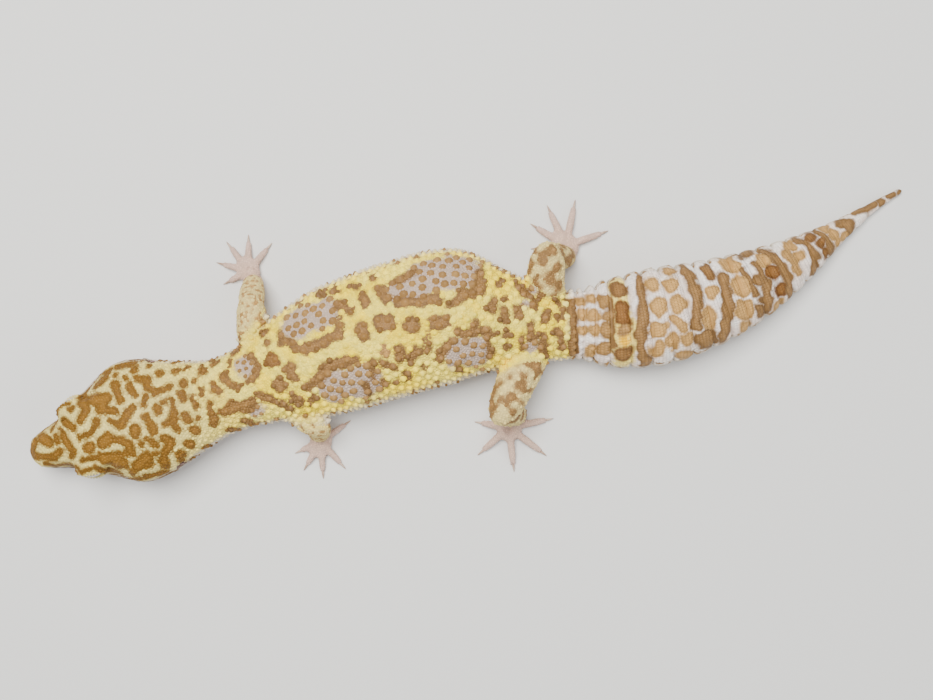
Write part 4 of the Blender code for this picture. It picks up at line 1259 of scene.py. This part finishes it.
# Spreads points over the skin, no two closer than the gap wanted there.
def scatter(gapAt, seed, crowd):
    corners = meshPoints(skinMesh)[triangleCorners(skinMesh)]
    draw = np.random.default_rng(seed)
    middles = corners.mean(1)
    gaps = gapAt(middles)
    spread = np.cross(corners[:, 1] - corners[:, 0], corners[:, 2] - corners[:, 0])
    area = np.linalg.norm(spread, axis=1) / 2
    weight = np.where(gaps > 0, area / np.maximum(gaps, 0.1) ** 2, 0)
    chosen = draw.choice(len(corners), int(weight.sum() * crowd), p=weight / weight.sum())
    a, b = np.sqrt(draw.random(len(chosen))), draw.random(len(chosen))
    tri = corners[chosen]
    points = ((1 - a)[:, None] * tri[:, 0] + (a * (1 - b))[:, None] * tri[:, 1]
              + (a * b)[:, None] * tri[:, 2])
    gaps = gaps[chosen]
    cell = float(gaps.max())
    keys = np.floor(points / cell).astype(int).tolist()
    around = [(i, j, k) for i in (-1, 0, 1) for j in (-1, 0, 1) for k in (-1, 0, 1)]
    grid, kept = {}, []
    for number, ((i, j, k), (x, y, z), gap) in enumerate(zip(keys, points.tolist(), gaps.tolist())):
        if all((ox - x) ** 2 + (oy - y) ** 2 + (oz - z) ** 2 >= gap * gap
               for di, dj, dk in around for ox, oy, oz in grid.get((i + di, j + dj, k + dk), ())):
            grid.setdefault((i, j, k), []).append((x, y, z))
            kept.append(number)
    return points[kept], gaps[kept]


def treeOf(points):
    tree = kdtree.KDTree(len(points))
    for number, point in enumerate(points.tolist()):
        tree.insert(point, number)
    tree.balance()
    return tree


# Pushes crowded points apart, so that the scales lie in even rows.
def settle(points, gaps, rounds):
    for turn in range(rounds):
        tree = treeOf(points)
        near = [tree.find_n(p, settling["neighbours"] + 1)[1:] for p in points.tolist()]
        spots = np.array([[tuple(q[0]) for q in row] for row in near])
        far = np.array([[q[2] for q in row] for row in near])
        push = np.maximum(gaps[:, None] * settling["spacing"] - far, 0) / np.maximum(far, 1e-6)
        push = ((points[:, None] - spots) * push[..., None]).sum(1) * settling["push"]
        points = points + push
        points = surfaceNormals(points)[0]
    return points


# The nearest places on the skin, and which way it faces there.
def surfaceNormals(points):
    found = [skinTree.find_nearest(p) for p in points.tolist()]
    return np.array([tuple(f[0]) for f in found]), np.array([tuple(f[1]) for f in found])


# The way back along the body or down a limb, which the scales point.
def backwards(points):
    place = bodyPlace(points)
    along = np.concatenate([headingAt(place.at), np.zeros((len(points), 1))], 1)
    limb = limbShare(place)
    spot = limbPlace(points)
    for number, joints in enumerate(limbLines.values()):
        mine = (limb > 0.5) & (spot.which == number)
        upper = spot.along < np.linalg.norm(joints[1] - joints[0])
        along[mine & upper] = joints[1] - joints[0]
        along[mine & ~upper] = joints[2] - joints[1]
    return along / np.linalg.norm(along, axis=1, keepdims=True)


# Where scales grow, the way they point, and their sizes: half their length, half their width and
# their height. Plates lie along the skin, and change is a function that alters their colours.
def rootsAt(points, seed, long, wide, high, lean=0.0, spin=False, change=None, plates=False):
    draw = np.random.default_rng(seed)
    place, normal = surfaceNormals(points)
    count = len(points)
    sizes = dict(long=long, wide=wide, high=high, lean=lean, bead=0.0)
    roots = {key: np.broadcast_to(np.asarray(value, float), (count,)).copy()
             for key, value in sizes.items()}
    roots.update(place=place, normal=normal, along=backwards(place), chance=draw.random(count),
                 spin=draw.random(count) * math.pi if spin else np.zeros(count),
                 change=change, plates=plates)
    return roots


# Some of the roots.
def picked(roots, keep):
    return {key: value[keep] if isinstance(value, np.ndarray) else value for key, value in roots.items()}


# Rows of plates round the body, each row half a plate further round than the last.
def rowPoints(rowsAt, wide, turns):
    points = []
    angle = np.linspace(-math.pi, math.pi, 721)
    for number, at in enumerate(rowsAt):
        half, wideAt = lineRead("half", at), lineRead("wide", at)
        rise = np.where(np.abs(angle) < math.pi / 2, lineRead("top", at) - wideAt,
                        wideAt - lineRead("low", at))
        ring = bodyPoint(np.full(len(angle), at), np.sin(angle) * half, wideAt + np.cos(angle) * rise)
        run = runOf(ring)
        count = max(6, round(run[-1] / wide))
        spots = (np.arange(count) + 0.5 * (number % 2)) * run[-1] / count
        turn = np.interp(spots, run, angle)
        keep = (np.abs(turn) >= turns[0]) & (np.abs(turn) <= turns[1])
        points.append(pointsAlong(ring, run, spots)[keep])
    return np.concatenate(points)


# The gap between fine scales, and 0 where rows of plates or nothing at all grow.
def fineGap(points):
    form = coatForm
    place = bodyPlace(points)
    crown = smoothStep(4, 22, place.at) * (1 - smoothStep(55, 75, place.back))
    gap = blended(form["faceGap"], form["crownGap"], crown)
    gap = np.where(place.back > 105, form["throatGap"], gap)
    gap = blended(gap, form["backGap"], smoothStep(40, 46, place.at))
    toes = 1 - smoothStep(1.6, 3.0, points[:, 2])
    onLimb = limbShare(place) > 0.5
    gap = np.where(onLimb, blended(form["limbGap"], form["toeGap"], toes), gap)
    opening = lidOpening(points)
    gap = np.where((place.at < 30) & (opening < 2.0), form["lidGap"], gap)
    bare = (opening < 1.26) | (earFar(points) < 1.1)
    off = np.abs(points[:, 2] - mouthHeight(place.at))
    low = (place.back > 20) | (place.at < 2)
    lips = np.flatnonzero((place.at < mouth["corner"] + 1.5) & (off < 3) & low)
    under = lipScales["high"] / 2 + 0.12  # bare under the lip scales
    bare[lips] |= np.array([lipTree.find(p)[2] < under for p in points[lips].tolist()])
    bare |= (place.at < mouth["corner"]) & (off < 0.2)
    bare |= ~onLimb & (place.at > bodyAt["ventEnd"])  # plates grow here
    bare |= ~onLimb & (place.at > 45) & (place.back > 120)
    bare |= onLimb & (points[:, 2] < 0.3)
    for spot in nostrilSpots:
        bare |= np.linalg.norm(points - spot, axis=1) < nostrils["radius"] + 0.2
    return np.where(bare, 0, gap)


def fineCoat(finish):
    form = coatForm
    points, gaps = scatter(fineGap, 5, 9)
    points = settle(points, gaps, 2)
    tree = treeOf(points)
    apart = np.array([np.mean([q[2] for q in tree.find_n(p, 5)[1:]]) for p in points.tolist()])
    size = np.minimum(apart * 0.52, form["widest"])
    place = bodyPlace(points)
    onLimb = limbShare(place) > 0.5
    high = np.where(place.at < 42, form["faceHigh"], form["fineHigh"])
    limbHigh = np.where(points[:, 2] < 2.4, form["toeHigh"], form["limbHigh"])
    high = np.where(onLimb, limbHigh, high) * size / form["usualSize"]
    roots = rootsAt(points, 11, size * 1.04, size, high, spin=True)
    which = limbPlace(points).which
    total = 0
    for number, name in enumerate(limbs):
        total += plantScales("coat_" + name, granule, picked(roots, onLimb & (which == number)),
                             finish, name)
    head = place.at < bodyAt["headEnd"]
    for name, side in sides.items():
        half = ~onLimb & (place.side * side > 0)
        total += plantScales("coat_head_" + name, granule, picked(roots, half & head),
                             finish, "body")
        total += plantScales("coat_trunk_" + name, granule, picked(roots, half & ~head),
                             finish, "body")
    return total


# In the lavender patches the tubercles are tan, and on the yellow they are paler than it.
def tubercleColour(values, roots):
    brown, lavender = values["marks"][:, 0], values["marks"][:, 2]
    patch = (lavender > -0.2) & (brown < 0.1)
    # each is all brown or all yellow, even on the edge of a mark
    whole = np.where(brown > -0.1, np.maximum(brown, 0) + 0.3, brown - 0.4)
    values["marks"][:, 0] = np.where(patch, 0.3, whole)
    values["marks"][:, 1] = np.where(patch, 0.15 + 0.2 * roots["chance"], values["marks"][:, 1])
    values["marks"][:, 2] = np.where(patch, -3, lavender)
    under = values["zones"][:, 0]
    roots["bead"] = np.where(patch, 0.0, np.where(brown > -0.2, 0.12, 0.7 + 0.3 * under))


def tubercleGap(points):
    form = tubercles
    place = bodyPlace(points)
    limb = limbShare(place)
    onLimb = limb > 0.5
    lavender, _ = strokeField(lavenderPatches, place.at, place.wrap)
    gap = np.where(lavender > 0, form["patchGap"], form["backGap"])
    gap = blended(gap, form["flankGap"], smoothStep(58, 74, place.back))
    gap = blended(gap, form["neckGap"], 1 - smoothStep(54, 62, place.at))
    gap = blended(gap, form["napeGap"], 1 - smoothStep(41, 47, place.at))
    gap = np.where(onLimb, form["limbGap"], gap)
    bare = (place.at < 34) | (place.at > bodyAt["ventEnd"] - 0.5) | (place.back > 112)
    bare |= (place.at < 42) & (place.back < 42)
    bare |= onLimb & ((points[:, 2] < 3.5) | (place.at < 90))
    bare |= (limb > 0.05) & (limb < 0.95)
    bare |= earFar(points) < 1.9
    return np.where(bare, 0, gap)


def tubercleCoat(finish):
    form = tubercles
    points, gaps = scatter(tubercleGap, 17, 60)
    points = settle(points, gaps, 3)
    place = bodyPlace(points)
    onLimb = limbShare(place) > 0.5
    flank = smoothStep(58, 76, place.back)
    neck = 1 - smoothStep(50, 64, place.at)
    lavender, _ = strokeField(lavenderPatches, place.at, place.wrap)
    wide = np.where(lavender > 0, form["patchWide"], form["wide"])
    wide = blended(blended(wide, form["flankWide"], flank), form["neckWide"], neck)
    high = blended(blended(form["high"], form["flankHigh"], flank), form["neckHigh"], neck)
    small = 1 - form["napeLess"] * (1 - smoothStep(38, 46, place.at))
    wide, high = wide * small, high * small
    wide = np.where(onLimb, form["limbWide"], wide)
    high = np.where(onLimb, form["limbHigh"], high)
    vary = 1 - form["vary"] / 2 + form["vary"] * np.random.default_rng(23).random(len(points))
    roots = rootsAt(points, 29, wide * vary, wide * vary * 0.94, high * vary,
                    lean=0.12 * wide + 0.16 * flank, change=tubercleColour)
    which = limbPlace(points).which
    inNeck = place.at < bodyAt["neckEnd"]
    pieces = [("neck", ~onLimb & inNeck), ("trunk", ~onLimb & ~inNeck)]
    pieces += [(name, onLimb & (which == number)) for number, name in enumerate(limbs)
               if name.startswith("foot")]
    total = 0
    for name, keep in pieces:
        onBody = name in ("neck", "trunk")
        total += plantScales("tubercles_" + name, cone, picked(roots, keep), finish,
                             "body" if onBody else name)
    return total


def tailCoat(finish):
    form = tailScales
    rows, beads, beadSize = [], [], []
    for number, (start, end) in enumerate(zip(ringEdges[:-1], ringEdges[1:])):
        long = end - start
        count = max(2, round(long / min(form["long"], 0.4 + 0.05 * float(lineRead("half", start)))))
        rows += list(start + (np.arange(count) + 0.5) * long / count)
        if number < form["tubercleRings"]:  # one row of tubercles near the back edge of each ring
            gap = form["tubercleGap"] + 0.05 * number
            row = rowPoints([end - min(0.85, 0.32 * long)], gap, (0, math.radians(112)))
            beads.append(row)
            beadSize += [max(0.3, form["tubercle"] - 0.045 * number)] * len(row)
    step = form["tipStep"]
    rows += list(np.arange(ringEdges[-1], bodyLength - 1.2, step) + step / 2)
    points, longs, wides = [], [], []
    for number, at in enumerate(rows):
        half = float(lineRead("half", at))
        wide = min(form["wide"], 0.3 + 0.055 * half)
        row = rowPoints([at], wide, (0, math.pi))
        if number % 2:  # every other row starts half a plate on
            row = (row + np.roll(row, -1, axis=0)) / 2
        points.append(row)
        longs += [min(form["long"], 0.4 + 0.05 * half)] * len(row)
        wides += [wide] * len(row)
    points, longs, wides = np.concatenate(points), np.array(longs), np.array(wides)
    high = form["high"] * (0.5 + 0.5 * wides / form["wide"])
    roots = rootsAt(points, 31, longs * 0.54, wides * 0.53, high, lean=longs * 0.1, plates=True)
    front = bodyPlace(roots["place"]).at < form["frontEnd"]
    total = plantScales("coat_tail_front", plate, picked(roots, front), finish, "body")
    total += plantScales("coat_tail_back", plate, picked(roots, ~front), finish, "body")
    beads, size = np.concatenate(beads), np.array(beadSize)
    roots = rootsAt(beads, 37, size, size, size * 0.62, lean=size * 0.15)
    return total + plantScales("tubercles_tail", cone, roots, finish, "body")


def bellyCoat(finish):
    form = bellyScales
    rows = np.arange(form["start"], bodyAt["ventEnd"], form["long"] * 0.86)
    points = rowPoints(rows, form["wide"], (math.radians(form["edge"]), math.pi))
    keep = limbShare(bodyPlace(surfaceNormals(points)[0])) < 0.3
    roots = rootsAt(points[keep], 43, form["long"] * 0.56, form["wide"] * 0.54, form["high"],
                    lean=0.12, plates=True)
    return plantScales("coat_belly", plate, roots, finish, "body")


# A line along a lip, a set way over the skin from the line of the mouth: from one corner of the
# mouth round the snout to the other. Way is 1 for the upper lip and -1 for the lower.
def lipLine(way, reach):
    hub = mouth["hub"]
    spots = [(at, 1.0, 0.0) for at in np.linspace(mouth["corner"], hub, 60)]
    spots += [(hub, math.cos(angle), math.sin(angle)) for angle in np.linspace(0, math.pi, 90)[1:-1]]
    spots += [(at, -1.0, 0.0) for at in np.linspace(hub, mouth["corner"], 60)]
    line = []
    for at, side, ahead in spots:
        heading = headingAt(np.array(at))
        across = np.array([-heading[1], heading[0]])
        out = across * side - heading * ahead
        start, inward = Vector((*(middleAt(np.array(at)) + out * 25), 0)), Vector((*(-out), 0))
        level, climb = float(mouthHeight(np.array(at))), []
        if ahead:  # round the snout, the line rises with the place that it has reached
            start.z = level
            reached = skinTree.ray_cast(start, inward)[0]
            level = float(mouthHeight(bodyPlace(np.array([reached])).at)[0])
        for lift in np.linspace(0.2, 2.2, 21):
            start.z = level + way * lift
            hit = skinTree.ray_cast(start, inward)[0]
            if hit is not None:
                climb.append(tuple(hit))
        climb = np.array(climb)
        line.append(pointsAlong(climb, runOf(climb), reach))
    return np.array(line)


def lipCoat(finish):
    form = lipScales
    roots = []
    for line in lipLines:
        run = runOf(line)
        middle = run[-1] / 2
        spots, sizes = [middle], [form["rostral"]]
        for way in (1, -1):
            at, size = middle + way * form["rostral"] / 2, form["front"]
            while 0 < at + way * size / 2 < run[-1]:
                spots.append(at + way * size / 2)
                sizes.append(size)
                at += way * size
                size = max(form["behind"], size * 0.965)
        points = pointsAlong(line, run, spots)
        nextTo = pointsAlong(line, run, np.array(spots) + 0.4)
        halfHigh = form["high"] * np.r_[0.4, np.full(len(spots) - 1, 0.46)]  # lower at the tip
        made = rootsAt(points, 47, np.array(sizes) * 0.5, halfHigh, form["stand"], plates=True)
        made["along"] = nextTo - points
        roots.append(made)
    both = {key: np.concatenate([lip[key] for lip in roots]) if isinstance(value, np.ndarray) else value
            for key, value in roots[0].items()}
    return plantScales("lip_scales", plate, both, finish, "body")


def lidCoat(finish):
    form = lidScales
    total = 0
    for name, eye in eyes.items():
        points, ways = [], []
        for number, ring in enumerate(form["rings"]):
            for angle in (np.arange(form["count"]) + number / 2) * 2 * math.pi / form["count"]:
                along = math.cos(angle) * lids["length"] * ring / eye.radius
                high = math.sin(angle) * lids["height"] * ring / eye.radius
                if along ** 2 + high ** 2 > 0.9:
                    continue
                out = eye.gaze * math.sqrt(1 - along ** 2 - high ** 2)
                points.append(eye.centre + (eye.ahead * along + eye.up * high + out) * (eye.radius + 0.6))
                ways.append(eye.ahead * -math.sin(angle) * lids["length"]
                            + eye.up * math.cos(angle) * lids["height"])
        roots = rootsAt(np.array(points), 53, form["long"] / 2 * 1.15, form["wide"] / 2 * 1.15,
                        form["high"])
        roots["along"] = np.array(ways)
        roots["bead"] = np.full(len(points), 0.5)
        total += plantScales("lid_scales_" + name, granule, roots, finish, "body")
    return total


buildStudio()
skin = buildSkin()
skinMesh = skin.data
skinTree = meshTree(skinMesh)
lipLines = [lipLine(way, lipScales["reach"]) for way in (1, -1)]
lipTree = treeOf(np.concatenate(lipLines))
horn, drum, wet = clawHorn(), eardrumSkin(), eyeGlass()
for name in eyes:
    buildEye(name, wet)
for limb in limbs:
    buildClaws(limb, horn)
for name in eardrums:
    buildEardrum(name, drum)
print("eyes, claws and eardrums made")
coatFinish = geckoSkin("geckoScales", 0.5, 1.0)
total = fineCoat(coatFinish) + tubercleCoat(coatFinish) + tailCoat(coatFinish)
total += bellyCoat(coatFinish) + lipCoat(coatFinish) + lidCoat(coatFinish)
print("the whole coat:", total, "triangles")
# The skin's finish is 0.86 as bright as the scales': painted shade for skin that lies sunk between and
# under them.
finishSkin(skin, geckoSkin("geckoSkin", 0.55, 0.86))
